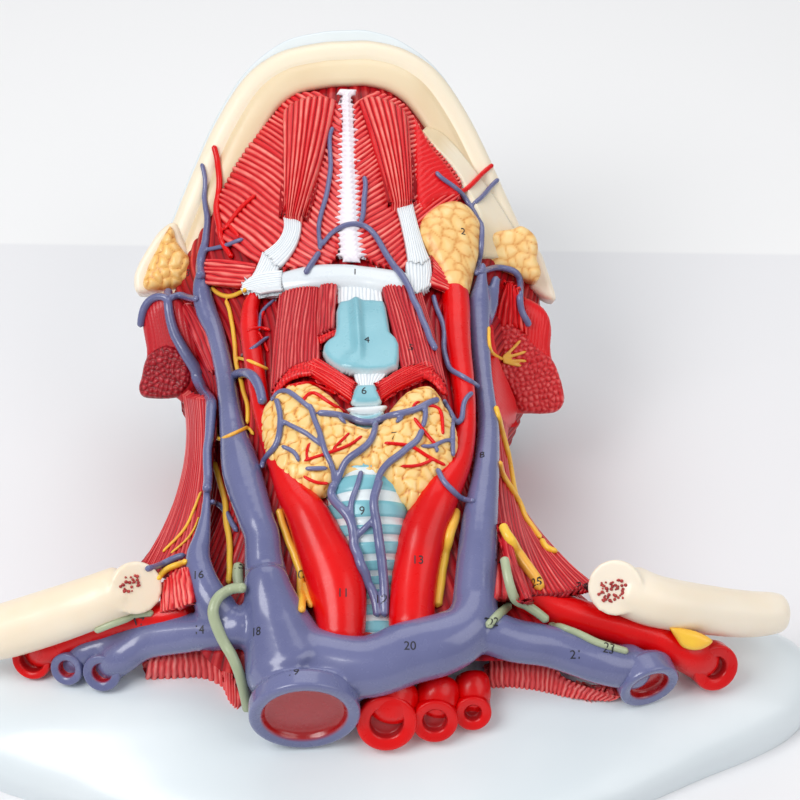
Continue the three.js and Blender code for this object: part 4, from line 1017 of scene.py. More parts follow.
# Floor of the mouth: two herringbone sheets of fibres that meet at a white seam
mylohyoids = [
    ("mylohyoid_sheet_right", "muscleBold", ["mylohyoid_right"], 11, 31, [
        (318, 91, 330, 97, 342, 104), (300, 93, 321, 104, 342, 118), (284, 98, 313, 116, 342, 136),
        (277, 111, 310, 131, 342, 152), (268, 122, 305, 148, 342, 175), (259, 131, 300, 162, 342, 193),
        (251, 142, 297, 175, 341, 208), (244, 154, 293, 187, 340, 222), (236, 166, 288, 201, 339, 237),
        (229, 179, 283, 214, 338, 251), (223, 191, 276, 226, 330, 262), (219, 203, 262, 234, 308, 266),
        (218, 217, 252, 241, 288, 267), (216, 234, 240, 251, 264, 268)]),
    ("mylohyoid_sheet_left", "muscleBold", ["mylohyoid_left"], 12, 36, [
        (374, 90, 363, 96, 353, 104), (390, 96, 372, 104, 354, 118), (404, 105, 379, 117, 354, 135),
        (415, 120, 385, 133, 354, 155), (425, 137, 390, 152, 355, 175), (436, 150, 395, 170, 355, 195),
        (445, 160, 400, 187, 356, 215), (455, 173, 406, 204, 357, 234), (460, 184, 410, 219, 360, 251),
        (457, 198, 414, 233, 374, 261), (446, 220, 419, 245, 392, 267), (438, 245, 424, 257, 410, 270)]),
]
makeBands(mylohyoids, "muscle", .4, rim=-.4, crown=.6, across=.3, relief=.75, detail=8, rowLength=1.6, sway=.25)

digastrics = [
    ("digastric_belly_right", "muscleBold", ["digastric_right"], 21, 9, [
        (283, 110, 284, 160, 284, 216), (289, 101, 288, 160, 286.5, 217), (305, 94, 299, 155, 291, 218),
        (322, 91, 313, 150, 296, 219), (337, 92, 324, 150, 302, 220)]),
    ("digastric_belly_left", "muscleBold", ["digastric_left"], 22, 9, [
        (357, 92, 375, 150, 392, 204), (364, 91, 382, 150, 395, 205), (378, 93, 391, 150, 400, 206),
        (396, 101, 402, 152, 406, 205), (408, 112, 411, 157, 412, 203)]),
]
makeBands(digastrics, "muscle", 2.6, rim=-.6, crown=4, across=.75, along=.12, relief=.75, detail=14,
          rowLength=1.2, sway=.12, thickness=2.2)

tendons = [
    {"name": "tendon_strap_right", "node": "digastric_tendon_right", "seed": 31, "parts": [
        [(284, 215, 281, 234, 263, 250), (293, 217, 289, 239, 271, 257), (302, 220, 297, 243, 282, 264)],
        [(263, 248, 258, 262, 250, 277), (272, 255, 266, 268, 258, 282), (281, 261, 277, 273, 272, 288)]]},
    {"name": "tendon_strap_left", "node": "digastric_tendon_left", "seed": 32, "parts": [
        [(396, 206, 403, 235, 407, 262), (404, 203, 411, 232, 417, 262), (412, 201, 420, 232, 429, 257)],
        [(405, 259, 405, 274, 406, 287), (417, 259, 418, 275, 417, 291), (429, 254, 431, 268, 430, 284)]]},
]
for tendon in tendons:
    parts = [fibrePatch(tendon["name"], seenShares(seen, 1.8), 9, tendon["seed"] + i, rim=.8 - .4 * i, crown=1.3,
                        across=.6, relief=.2, detail=8, rowLength=.8, thickness=1.8, fray=.1)
             for i, seen in enumerate(tendon["parts"])]
    settle(joinPieces(tendon["name"], parts), "white", "tendon", tendon["node"])

seam = {
    "left": [(341, 91), (341, 104), (340, 125), (339, 150), (338, 175), (337, 195), (336, 215), (337, 236),
             (338, 250), (338, 260)],
    "right": [(353, 91), (354, 104), (356, 128), (358, 152), (358, 171), (360, 195), (361, 211), (362, 232),
              (364, 250), (365, 260)],
    "pitch": 1.5,
    "tooth": (.9, 2.3),
    "slant": 1.5,
    "narrow": 1.2,
    "seed": 33,
    "middle": -.9,  # millimetres across
    "barbSlant": .75,
    "barbReach": 2.4,
    "barbRoundness": .6,
    "barbDepth": .8,
    "relief": .3,
}


def rapheTexture(x, y, depth):
    slant = np.abs(x - seam["middle"]) * seam["barbSlant"]
    barbs = np.abs(np.sin(math.pi * (y / seam["pitch"] - slant))) ** seam["barbRoundness"]
    near = 1 - np.clip(depth / seam["barbReach"], 0, 1)
    crest = 1 - near * (1 - barbs) * seam["barbDepth"]
    return seam["relief"] * crest, crest


def rapheOutline():  # an irregular feather edge whose barbs slant up and outward
    random = np.random.default_rng(seam["seed"])
    edges = []
    for side, pixels in ((-1, seam["left"]), (1, seam["right"])):
        line = seenOutline(pixels, 1)
        line = line[np.argsort(line[:, 1])]
        rows = np.arange(line[0, 1], line[-1, 1], seam["pitch"] / 2)
        x = np.interp(rows, line[:, 1], line[:, 0])
        out = np.arange(len(rows)) % 2
        tooth = out * random.uniform(*seam["tooth"], len(rows))
        edge = np.c_[x - side * seam["narrow"] + side * tooth, rows + out * seam["slant"]]
        edge = edge[np.argsort(edge[:, 1], kind="stable")]
        edges.append(edge if side < 0 else edge[::-1])
    return np.concatenate(edges)


piece = reliefPatch("mylohyoid_seam", rapheOutline(), pitch=.26, rim=.35, crown=.8, edge=1.6, smooth=False,
                    texture=rapheTexture)
settle(piece, "raphe", "tendon", "mylohyoid_raphe")

slips = [  # short bands beside the hyoid bone
    ("hyoid_slip_right", "muscleBold", [], 34, 6, [
        (209, 257, 232, 258, 258, 262), (208, 265, 232, 267, 257, 270), (208, 274, 230, 277, 250, 279),
        (209, 283, 230, 285, 248, 286)]),
    ("hyoid_slip_left", "muscleBold", [], 35, 8, [
        (430, 254, 438, 264, 447, 274), (431, 268, 441, 277, 453, 287), (428, 284, 440, 288, 458, 296)]),
]
makeBands(slips, "muscle", 1, rim=.2, crown=1.2, across=.4, relief=.6, rowLength=1)
print("floor of the mouth done")

# Hyoid bone with a feathered right tip, and the plates of the voice box
piece = reliefPatch("hyoid_bar", seenOutline(
    [(250, 281), (254, 275), (264, 270), (281, 266), (300, 261), (318, 258), (335, 257.5), (350, 258), (362, 259.5),
     (388, 263), (404, 266), (413, 273), (411, 284), (405, 288), (383, 285), (360, 281.5), (335, 281), (318, 282.5),
     (300, 285), (277, 289), (263, 290), (254, 287)], 2), rim=-1, crown=3, edge=3.2, pitch=.45)
settle(piece, "hyoid", "cartilage", "hyoid_bone")
tip = [("hyoid_tip_fan", "white", [], 43, 11, [
    (284, 267, 262, 270, 252, 275), (284, 275, 262, 277, 246, 282), (284, 283, 264, 285, 250, 288),
    (284, 289, 272, 290, 262, 292)])]
makeBands(tip, "cartilage", 2, rim=1.3, crown=.9, across=.5, relief=.25, rowLength=.7, fray=.25)

shield = {
    "outline": [(338, 302), (348, 300.5), (361, 300), (373, 300), (385, 301.5), (387, 308), (389, 321), (391, 332),
                (397, 338), (400, 345), (400, 357), (398, 367), (387, 371), (368, 372), (351, 371.5), (341, 369.5),
                (333, 365), (326, 359), (322, 352), (323, 345), (327, 340), (333, 336), (335, 327), (335, 312)],
    # swells as height, middle and width in millimetres
    "ridge": (1.2, -1.1, 1.2),
    "ridgeStart": (74, 82),
    "footAcross": (.7, -2.6, 2.4),
    "footAlong": (1, 76.5, 2.6),
    "lip": (.2, .7, .5),
}


def swell(at, height, middle, width):
    return height * np.exp(-((at - middle) / width) ** 2)


def shieldTexture(x, y, depth):
    ridge = swell(x, *shield["ridge"]) * smoothStep(*shield["ridgeStart"], y)
    foot = swell(x, *shield["footAcross"]) * swell(y, *shield["footAlong"])
    return ridge + foot + swell(depth, *shield["lip"]), np.ones(len(x))


piece = reliefPatch("thyroid_shield", seenOutline(shield["outline"], .8), rim=-.8, crown=2.4, edge=1.8, pitch=.35,
                    texture=shieldTexture, smooth=False)
settle(piece, "cartilage", "cartilage", "thyroid_cartilage")

ringPlates = [
    ("cricoid_ring", "cartilage", ["cricoid_cartilage"], -.2,
     [(356, 384), (366, 383.5), (375, 384), (379, 391), (382, 398), (380, 403), (367, 405), (353, 404), (350, 400),
      (352, 391)]),
    ("cricoid_edge", "hyoid", [], -.5,
     [(346, 406), (356, 404.5), (368, 404), (387, 403.5), (385, 408), (381, 411), (366, 413), (351, 411)]),
    ("first_ring", "cartilage", [], -.6,
     [(349, 410), (358, 412), (368, 412.5), (384, 409.5), (380, 416), (371, 420), (362, 420), (354, 416)]),
]
for name, look, nodes, rim, seen in ringPlates:
    piece = reliefPatch(name, seenOutline(seen, .6), rim=rim, crown=1.4, edge=1.6, pitch=.35)
    settle(piece, look, "cartilage", *nodes)

whites = [
    ("thyrohyoid_sheet", "white", ["thyrohyoid_membrane"], 41, 12, [
        (337, 279, 336, 302), (350, 279, 350, 302), (365, 279, 365, 302), (380, 280, 384, 302)]),
    ("cricothyroid_band", "white", ["cricothyroid_ligament"], 42, 9, [
        (352, 369, 358, 387), (366, 370, 366, 387), (389, 369, 376, 387)]),
]
makeBands(whites, "tendon", .3, rim=-.9, crown=.8, across=.4, relief=.2, detail=8, rowLength=.8)

trachea = {
    "radius": 10.3,
    # shares of the neck, then width and rise of the middle in radii
    "route": [(-.015, .05, .9, -1.1), (-.015, .12, .95, -.92), (-.02, .17, 1, -.7), (-.02, .205, 1, -.62),
              (-.02, .24, .97, -.74), (-.015, .275, .93, -1.0), (-.01, .3, .9, -1.1)],
    "rings": 14,
    "ringHeight": .5,
    "ringEdge": (-.65, -.15),
    "ringTilt": .06,
}


def tracheaRelief(s, t):
    phase = t * trachea["rings"] + trachea["ringTilt"] * np.cos(2 * math.pi * s)
    crest = smoothStep(*trachea["ringEdge"], -np.cos(2 * math.pi * phase))
    return trachea["ringHeight"] * crest, crest


places = [neckPlace(u, v, rise * trachea["radius"]) for u, v, _, rise in trachea["route"]]
radii = [share * trachea["radius"] for _, _, share, _ in trachea["route"]]
piece = rod("trachea_tube", places, radii, sides=64, step=.4, relief=tracheaRelief)
settle(piece, "trachea", "cartilage", "trachea")

# Strap muscles in front of the voice box, with streaked cut ends above the gland
straps = [
    ("sternohyoid_strap_right", "musclePale", ["sternohyoid_right"], 51, 14, [
        (279, 294, 274, 340, 271, 392), (292, 290, 286, 335, 283, 378), (306, 288, 300, 332, 298, 366),
        (321, 287, 320, 325, 320, 362)]),
    ("sternohyoid_strap_left", "musclePale", ["sternohyoid_left"], 52, 13, [
        (381, 285, 392, 330, 402, 368), (395, 284.5, 408, 330, 416, 366), (408, 285, 420, 330, 430, 370),
        (421, 289, 433, 330, 446, 384)]),
]
strapSlips = [
    ("sternohyoid_slip_right", "musclePale", [], 55, 5, [
        (320, 287, 319, 310, 318, 336), (329, 286.5, 328, 308, 327, 333), (338, 286, 336, 306, 335, 329)]),
]
fans = [
    ("cricothyroid_fan_right", "muscle", ["cricothyroid_right"], 53, 8, [
        (318, 356, 338, 369, 356, 381), (310, 364, 334, 376, 353, 388), (312, 374, 334, 388, 351, 400)]),
    ("cricothyroid_fan_left", "muscle", ["cricothyroid_left"], 54, 9, [
        (414, 360, 396, 370, 377, 383), (428, 364, 403, 375, 379, 389), (432, 374, 403, 385, 381, 399)]),
]
for bands, rim in ((straps, -.8), (strapSlips, -.3), (fans, -.8)):
    makeBands(bands, "muscle", .9, rim=rim, crown=2.1, across=.45, relief=.42, detail=10, rowLength=1.2, sway=.3)


def streakTexture(seed, size, height=.35, sway=.25, roundness=.8, stretch=1.6, gap=.5):
    def texture(x, y, depth):  # short ridges across a cut end
        crest = np.abs(np.sin(math.pi * (x / size + sway * waves(seed, x, y * 2)))) ** roundness
        crest = crest * pillows(seed, x / size, y / size / stretch, gap)[0]
        return height * crest, crest
    return texture


cutEnds = [
    ("cut_strap_right", [(272, 395), (277, 384), (284, 374), (292, 365), (302, 360), (314, 360), (323, 366),
                         (324, 370), (314, 373), (298, 375.5), (286, 382), (277, 392)]),
    ("cut_strap_left", [(394, 376), (403, 368), (417, 365), (430, 368), (441, 378), (447, 393), (441, 391),
                        (431, 380), (418, 375), (405, 378)]),
    ("cut_slip_right", [(317, 336), (325, 332), (336, 328), (338, 331), (330, 336), (321, 341)]),
]
for step, (name, seen) in enumerate(cutEnds):
    piece = reliefPatch(name, seenOutline(seen, 1.2), pitch=.28, rim=.4, crown=.9, edge=1.6,
                        texture=streakTexture(61 + step, .75))
    settle(piece, "muscle", "muscle")
print("voice box done")


# Glands with pillowed lobules
def lobuleTexture(seed, size, height, gap, sway=.25):
    def texture(x, y, depth):
        x, y = x / size, y / size
        bendX, bendY = (sway * waves(seed + k, x * 2, y * 2) for k in (2, 3))
        crest, _ = pillows(seed, x + bendX, y + bendY, gap)
        return height * crest, crest
    return texture


piece = reliefPatch("thyroid_lobes", seenOutline(
    [(350, 414), (344, 404), (337, 393), (329, 386), (316, 378), (302, 375), (290, 379), (280, 387), (271, 394),
     (265, 402), (262, 414), (262, 428), (264, 442), (269, 456), (277, 470), (288, 481), (304, 487), (322, 489),
     (336, 478), (346, 472), (362, 473), (377, 479), (386, 484), (399, 491), (410, 504), (418, 499), (427, 489),
     (436, 480), (445, 470), (453, 460), (457, 447), (457, 432), (453, 418), (448, 407), (442, 397), (437, 387),
     (427, 379), (414, 380), (403, 386), (394, 396), (386, 406), (380, 416), (366, 420)], 3),
    pitch=.34, rim=-.5, crown=4, edge=6, texture=lobuleTexture(71, 2.6, .6, .3), thickness=2)
settle(piece, "gland", "gland", "thyroid_gland")

piece = reliefPatch("submandibular_lobes", seenOutline(
    [(433, 199), (441, 195), (452, 193), (461, 196), (469, 203), (476, 212), (480, 222), (481, 233), (479, 244),
     (476, 256), (473, 268), (470, 281), (466, 294), (462, 297), (455, 291), (448, 283), (441, 273), (436, 261),
     (429, 249), (423, 239), (418, 229), (419, 217), (424, 207)], 3), pitch=.4, rim=-.5, crown=4.2, edge=5,
    texture=lobuleTexture(72, 3, .3, .8), thickness=2)
settle(piece, "saliva", "gland", "submandibular_gland_left")

# The jaw's angles beside the parotid glands, and its inner margin on the left, down to the neck's surface
jawFront = jawPlane(.1)
jawAngles = [
    ("jaw_angle_left", [(531, 288), (549, 299), (556, 299), (553, 285), (547, 268), (541, 252), (532, 244),
                        (524, 262)]),
    ("jaw_angle_right", [(139, 262), (148, 247), (160, 230), (174, 222), (183, 240), (190, 262), (178, 287),
                         (150, 292), (136, 291), (134, 276)]),
]
for name, seen in jawAngles:
    piece = reliefPatch(name, planeOutline(jawFront, seen), pitch=.6, rim=-1, crown=1, edge=1.2, thickness=7,
                        plane=jawFront)
    settle(piece, "bone", "bone")

jawMargin = {"lift": 1.2, "rows": [  # picture points on the neck, then on the jaw
    (423, 130, 427, 126), (432, 141, 441, 132), (440, 151, 454, 144), (450, 161, 467, 160), (460, 174, 480, 177),
    (467, 188, 492, 193), (474, 200, 502, 208), (480, 216, 512, 224), (483, 236, 522, 242), (483, 256, 531, 260)]}
strands = []
for x0, y0, x1, y1 in jawMargin["rows"]:
    low = neckPlace(*seenShares((x0, y0), jawMargin["lift"]), jawMargin["lift"])[2]
    high = seenOnPlane(jawFront, x1, y1)[2]
    strands.append((x0, y0, low, (x0 + x1) / 2, (y0 + y1) / 2, (low + high) / 2, x1, y1, high))
piece = fibreSheet("jaw_margin_left", strands, 1, 94, crown=0, relief=0, detail=40, thickness=5, sway=0)
settle(piece, "jaw", "bone")

parotids = [
    {"name": "parotid_lobes_right", "node": "parotid_gland_right", "look": "parotid", "seed": 73, "height": .7,
     "proud": .2, "depth": 3.5,
     "seen": [(170, 226), (174, 231), (176, 240), (182, 249), (189, 257), (192, 266), (191, 277), (186, 284),
              (176, 288), (161, 290), (147, 290), (143, 284), (146, 273), (150, 262), (156, 251), (162, 239)]},
    {"name": "parotid_lobes_left", "node": "parotid_gland_left", "look": "saliva", "seed": 74, "height": .3,
     "proud": 6, "depth": 8,
     "seen": [(486, 236), (500, 231), (513, 229), (521, 226), (529, 230), (536, 238), (538, 249), (537, 259),
              (541, 272), (537, 281), (528, 280), (514, 275), (500, 273), (486, 275), (480, 268), (483, 252)]},
]
for gland in parotids:
    plane = jawPlane(gland["proud"])
    piece = reliefPatch(gland["name"], planeOutline(plane, gland["seen"]), pitch=.4, rim=.1, crown=2.4, edge=4.5,
                        texture=lobuleTexture(gland["seed"], 3, gland["height"], .6), thickness=gland["depth"],
                        plane=plane)
    settle(piece, gland["look"], "gland", gland["node"])
print("glands done")

# Flank muscles that flare towards the collar bones: picture points with their heights in millimetres
sheets = [
    ("flank_strap_right_front", "musclePale", ["side_muscle_right"], 81, 18, [
        (207, 400, 50, 204, 480, 46, 192, 578, 41), (197, 398, 45, 196, 480, 43, 172, 576, 40),
        (188, 396, 38, 187, 478, 39, 153, 569, 39), (181, 394, 29, 180.5, 474, 33, 140, 563, 38)]),
    ("flank_strap_left_front", "musclePale", ["side_muscle_left"], 82, 20, [
        (486, 406, 49, 489, 500, 45, 494, 596, 41), (501, 408, 43, 509, 500, 42, 534, 595, 39),
        (508, 410, 34, 514, 498, 37, 565, 592, 39), (513, 412, 26, 517, 492, 31, 597, 583, 39)]),
    ("scalene_right", "muscleBold", [], 84, 8, [
        (158, 585, 39, 158, 596, 38, 158, 613, 36), (168, 578, 41, 168, 592, 40, 168, 610, 38),
        (178, 571, 43, 178, 587, 42, 180, 607, 40), (186, 566, 45, 189, 584, 44, 193, 602, 42)]),
    ("scalene_left", "musclePale", [], 85, 4, [
        (502, 522, 47, 508, 558, 45, 524, 598, 43), (511, 524, 46, 517, 557, 44, 534, 600, 42)]),
    ("deep_slip_right", "musclePale", [], 86, 4, [
        (176, 306, 46, 190, 335, 46, 207, 372, 46), (190, 304, 50, 205, 332, 50, 219, 368, 50)]),
]
makeSheets(sheets, rowLength=1.5, sway=.5)


def beadTexture(seed, size, gap=.5, height=.75, least=.75):
    def texture(x, y, depth):
        crest, tone = pillows(seed, x / size, y / size, gap)
        return height * crest, crest * (least + (1 - least) * tone)
    return texture


def striaTexture(seed, size, turn, strength, height=.25, sway=.3, swaySize=3, roundness=.7, brightest=.72):
    def texture(x, y, depth):
        wander = sway * waves(seed, x / swaySize, y / swaySize)
        crest = np.abs(np.sin(math.pi * ((x * math.cos(turn) + y * math.sin(turn)) / size + wander))) ** roundness
        return height * crest, brightest - strength + strength * crest
    return texture


# Bright, faintly lined flesh beside the left belly and beside the left jugular vein
plainFlesh = [
    ("mylohyoid_face_left", 97, (1.25, 2.35, .5), [
        (411, 108), (421, 125), (432, 145), (442, 157), (452, 170), (460, 184), (458, 194), (446, 195), (434, 200),
        (425, 209), (417, 205), (414, 190), (413, 160), (412, 130)]),
    ("flank_face_left", 98, (1.1, 1.2, .2), [
        (485, 318), (492, 322), (495, 345), (502, 372), (512, 398), (516, 418), (507, 424), (487, 421), (485, 370)]),
]
for name, seed, lines, seen in plainFlesh:
    piece = reliefPatch(name, seenOutline(seen, 1), pitch=.4, rim=-.6, crown=1.7, edge=2,
                        texture=striaTexture(seed, *lines))
    settle(piece, "muscle", "muscle")

# Cut stumps of the big slanting neck muscles: a striated back, a beaded cut face and loose strands in a pit
stumps = [
    {"name": "sternomastoid_stump_right", "node": "sternomastoid_right", "facing": (-.25, -.77, .6), "seed": 91,
     "place": (-1.03, .572, .376), "proud": 4, "backLook": "musclePale", "faceLook": "muscleCut", "turn": .35,
     "pitch": 1, "strength": .45, "depth": 8,
     "back": [(160, 293), (149, 300), (142, 311), (140, 324), (142, 338), (144, 350), (143, 364), (140, 378),
              (138, 388), (141, 396), (149, 398), (173, 398), (181, 404), (188, 398), (197, 382), (201, 362),
              (197, 336), (189, 314), (177, 299), (168, 293)],
     "face": [(146, 357), (154, 349), (166, 344), (177, 347), (185, 356), (190, 368), (191, 380), (184, 392),
              (174, 398), (149, 398.5), (141, 396), (138, 388), (141, 376), (143, 365)],
     "strands": []},
    {"name": "sternomastoid_stump_left", "node": "sternomastoid_left", "facing": (.2, -.78, .6), "seed": 93,
     "place": (.885, .55, .375), "proud": 5, "backLook": "muscle", "faceLook": "muscleCutPale", "turn": -.3,
     "pitch": .9, "strength": .3, "depth": 10,
     "back": [(507, 279), (516, 287), (524, 295), (536, 301), (546, 308), (552, 318), (554, 332), (553, 347),
              (555, 361), (560, 374), (564, 390), (565, 401), (561, 409), (554, 413), (530, 414), (516, 415),
              (512, 420), (503, 408), (494, 380), (488, 350), (488, 325), (495, 298), (502, 284)],
     "face": [(491, 333), (500, 321), (513, 322), (523, 331), (532, 341), (543, 351), (554, 361), (560, 375),
              (564, 390), (565, 401), (561, 409), (554, 413), (531, 413.5), (518, 409), (511, 394), (503, 380),
              (496, 366), (491, 350)],
     "strands": [(506, 284, 1.2, 499, 302, .8, 494, 326, .6), (510, 282, 1.6, 508, 302, 1, 505, 326, .6),
                 (515, 287, 1.6, 517, 304, 1, 518, 328, .6), (519, 293, 1.2, 525, 309, .8, 528, 336, .6)]},
]
for stump in stumps:
    plane = makePlane(freePlace(*stump["place"]) + unit(stump["facing"]) * stump["proud"], stump["facing"])
    piece = reliefPatch(stump["name"] + "_back", planeOutline(plane, stump["back"]), pitch=.3, rim=-2.5, crown=2.5,
                        edge=4, thickness=stump["depth"], plane=plane,
                        texture=striaTexture(stump["seed"], stump["pitch"], stump["turn"], stump["strength"]))
    settle(piece, stump["backLook"], "muscle")
    piece = reliefPatch(stump["name"], planeOutline(plane, stump["face"]), pitch=.28, rim=-.9, crown=1.3, edge=1.6,
                        texture=beadTexture(stump["seed"] + 1, 1.4), thickness=2, plane=plane)
    settle(piece, stump["faceLook"], "muscle", stump["node"])
    if stump["strands"]:
        piece = fibreSheet(stump["name"] + "_strands", stump["strands"], 6, stump["seed"] + 2, plane=plane,
                           crown=.6, relief=.8, detail=10, rowLength=1, thickness=1.2)
        settle(piece, "muscle", "muscle")

# Ridged strips between the ribs, on the shell
ribStrips = [
    ("rib_muscle_right", "ribs", ["intercostal_right"], 95, 20, [
        (148, 658, 24, 147, 668, 22.5, 145, 679, 18.3), (167, 653, 24.5, 167, 665, 22.8, 167, 678, 18.3),
        (200, 648, 25.5, 200, 662, 23.5, 201, 678, 18.3), (222, 648, 26, 221, 665, 23.5, 222, 687, 18),
        (229, 664, 25, 229, 684, 22, 231, 703, 17.5), (241, 700, 20, 240, 705, 18.5, 238, 711, 17.2)]),
    ("rib_muscle_left", "ribs", ["intercostal_left"], 96, 26, [
        (489, 661, 23.5, 489, 674, 22, 490, 688, 18.2), (512, 659, 23.5, 513, 673, 22, 514, 687, 18),
        (548, 665, 22.5, 546, 677, 21, 545, 691, 17.6), (567, 680, 20.5, 564, 687, 19.5, 561, 695, 17.3),
        (595, 689, 19, 592, 694, 18, 588, 700, 17), (622, 697, 18, 618, 699, 17.3, 612, 700.5, 16.6)]),
]
makeSheets(ribStrips, crown=.8, relief=.7, thickness=3)
print("muscles done")

# Collar bones with dotted marrow in their cut faces
clavicles = [
    {"name": "collar_bone_right", "node": "clavicle_right", "facing": (.3, -.72, .62), "marrow": (131, 584, 11, 10),
     "dots": 26, "raised": [
         (136.7, 588, 6, 42), (96, 601, 6.3, 37), (50, 617, 6.6, 32), (0, 632, 6.5, 27), (-28, 636, 5.6, 25),
         (-52, 638, 3.6, 24)]},
    {"name": "collar_bone_left", "node": "clavicle_left", "facing": (-.3, -.72, .62), "marrow": (613, 591, 15, 13),
     "dots": 60, "raised": [
         (615, 588, 6.3, 42), (655, 601, 6.1, 36.5), (715, 611, 5.8, 30), (750, 614, 5.5, 26.5),
         (775, 613, 4.9, 24.8), (789, 613, 3.6, 24.2)]},
]
marrow = {"size": (.2, .42), "square": 5, "proud": .1, "seed": 101}
boneForm = {"sides": 64, "step": .8}


def routePlaces(vessel):  # the places and radii of a vessel's rows
    rows = [(seenAt(x, y, height), radius) for x, y, radius, height in vessel.get("raised", [])]
    rows += [(neckPlace(*seenShares((x, y), rise), rise), radius) for x, y, radius, rise in vessel.get("seen", [])]
    return [place for place, _ in rows], [radius for _, radius in rows]


def squareCollar(place, facing, length):  # three places straight in from a cut end
    return [place - facing * length * share for share in (0, .5, 1)]


for bone in clavicles:
    places, radii = routePlaces(bone)
    plane = makePlane(places[0], bone["facing"])
    collar = squareCollar(places[0], plane["facing"], marrow["square"])
    end = rod(bone["name"], collar, [radii[0]] * 3, rounding=(0, 3), **boneForm)
    shaft = rod(bone["name"], [collar[-1]] + places[1:], radii, flatness=.95, rounding=(3, 2), **boneForm)
    settle(fuse(bone["name"], [end, shaft], voxel=.5, rounds=4), "bone", "bone", bone["node"])
    random = np.random.default_rng(marrow["seed"])
    x, y, reachX, reachY = bone["marrow"]
    dots = []
    for _ in range(bone["dots"]):
        away, angle = math.sqrt(random.uniform(0, 1)), random.uniform(0, 2 * math.pi)
        spot = seenOnPlane(plane, x + away * reachX * math.cos(angle), y + away * reachY * math.sin(angle),
                           marrow["proud"])
        bpy.ops.mesh.primitive_ico_sphere_add(subdivisions=2, radius=random.uniform(*marrow["size"]) * mm,
                                              location=spot * mm)
        bpy.ops.object.transform_apply(location=True)
        dots.append(bpy.context.object)
    settle(joinPieces(bone["name"] + "_marrow", dots), "marrow", "bone")
print("collar bones done")

# Great veins: rows of picture points with a radius and the rise of the middle over the neck, or its height
# over the table where the vessel is raised off the neck
veins = [
    {"facing": (0, -.99, -.13), "square": 7, "lumen": .76, "mouthName": "cava_mouth", "raised": [
        (304.5, 716, 12.3, 26.8), (293, 672, 11.2, 29.8), (277, 624, 7.8, 36), (268, 590, 5.6, 40.8),
        (265, 566, 4.7, 43.2)]},
    {"raised": [(289, 655, 8, 33), (322, 661, 7, 32.5)], "seen": [
        (367, 667, 7, 0), (410, 652, 7.2, .4), (445, 642, 7, .8), (468, 626, 6.2, 1), (476, 596, 5, 1),
        (477, 560, 4.5, 1)]},
    {"seen": [
        (272, 614, 6, -1), (265, 562, 4.6, 1), (263, 534, 4.2, 1), (258, 520, 4.2, 1), (246, 478, 4.7, 1),
        (241, 456, 4.3, 1), (236, 434, 3.4, .8), (233, 412, 2.9, .8), (231, 397, 2.7, .8), (226, 368, 2.5, .7),
        (217, 331, 2.5, .7), (208, 309, 2.8, .7), (203, 287, 2.4, .7), (203, 268, 1.3, .7)]},
    {"seen": [
        (474, 618, 5.4, .5), (478, 528, 4.4, 1), (483, 473, 3.3, 1), (485, 425, 2.7, 1), (480, 377, 2.4, 1),
        (477, 345, 2.7, 1), (476, 313, 3, 1), (476, 297, 2.7, 1.4), (477, 283, 1.9, 1.8), (478, 270, 1.3, 2),
        (479, 258, .9, 2)]},
    {"seen": [(481, 324, 1.9, 1), (487, 303, 2, 1.3), (490, 286, 1.6, 1.5), (493, 271, 1.1, 1.8)]},
    {"raised": [
        (207, 486, 1.0, 46), (206, 512, 1.3, 45.6), (202, 538, 2.1, 45), (198, 557, 2.9, 43.6),
        (202, 578, 3.4, 42), (211, 600, 4.2, 39.5), (226, 620, 5, 36)]},
    {"facing": (-.3, -.85, .4), "lumen": .5, "mouthName": "arm_vein_mouth_right", "raised": [
        (66.7, 669, 3.9, 21.2), (84, 653, 3.6, 22.6), (112, 643, 3.7, 25), (150, 635, 4, 29), (190, 632, 4.4, 32),
        (225, 630, 4.7, 34.5), (255, 624, 5, 36.5)]},
    {"facing": (-.2, -.88, .4), "lumen": .5, "mouthName": "arm_branch_mouth_right", "raised": [
        (101.7, 673, 4.4, 22.3), (121, 657, 4.1, 24.5), (143, 643, 4, 27.5), (175, 636, 4.2, 30.5),
        (200, 633, 4.2, 32.5)]},
    {"facing": (.25, -.95, -.15), "lumen": .64, "mouthName": "arm_vein_mouth_left", "raised": [
        (649.5, 686, 7, 22.6), (626, 667, 5.2, 25), (598, 662, 4.9, 27.5), (552, 647, 4.8, 30.5), (512, 640, 5, 33),
        (480, 628, 5.2, 35.5)]},
]
veinNodes = ["great_vein", "internal_jugular_right", "internal_jugular_left", "external_jugular_right",
             "subclavian_vein_right", "subclavian_vein_left"]

# A cut vessel's straight collar and a vessel's rounded ends, in radii, and the rest of their shape
vesselForm = {
    "collar": .7,
    "collarExtra": 2,  # millimetres
    "collarRound": .3,
    "endRound": .6,
    "sides": 36,
    "mouthSides": 48,
    "smoothing": 10,
}


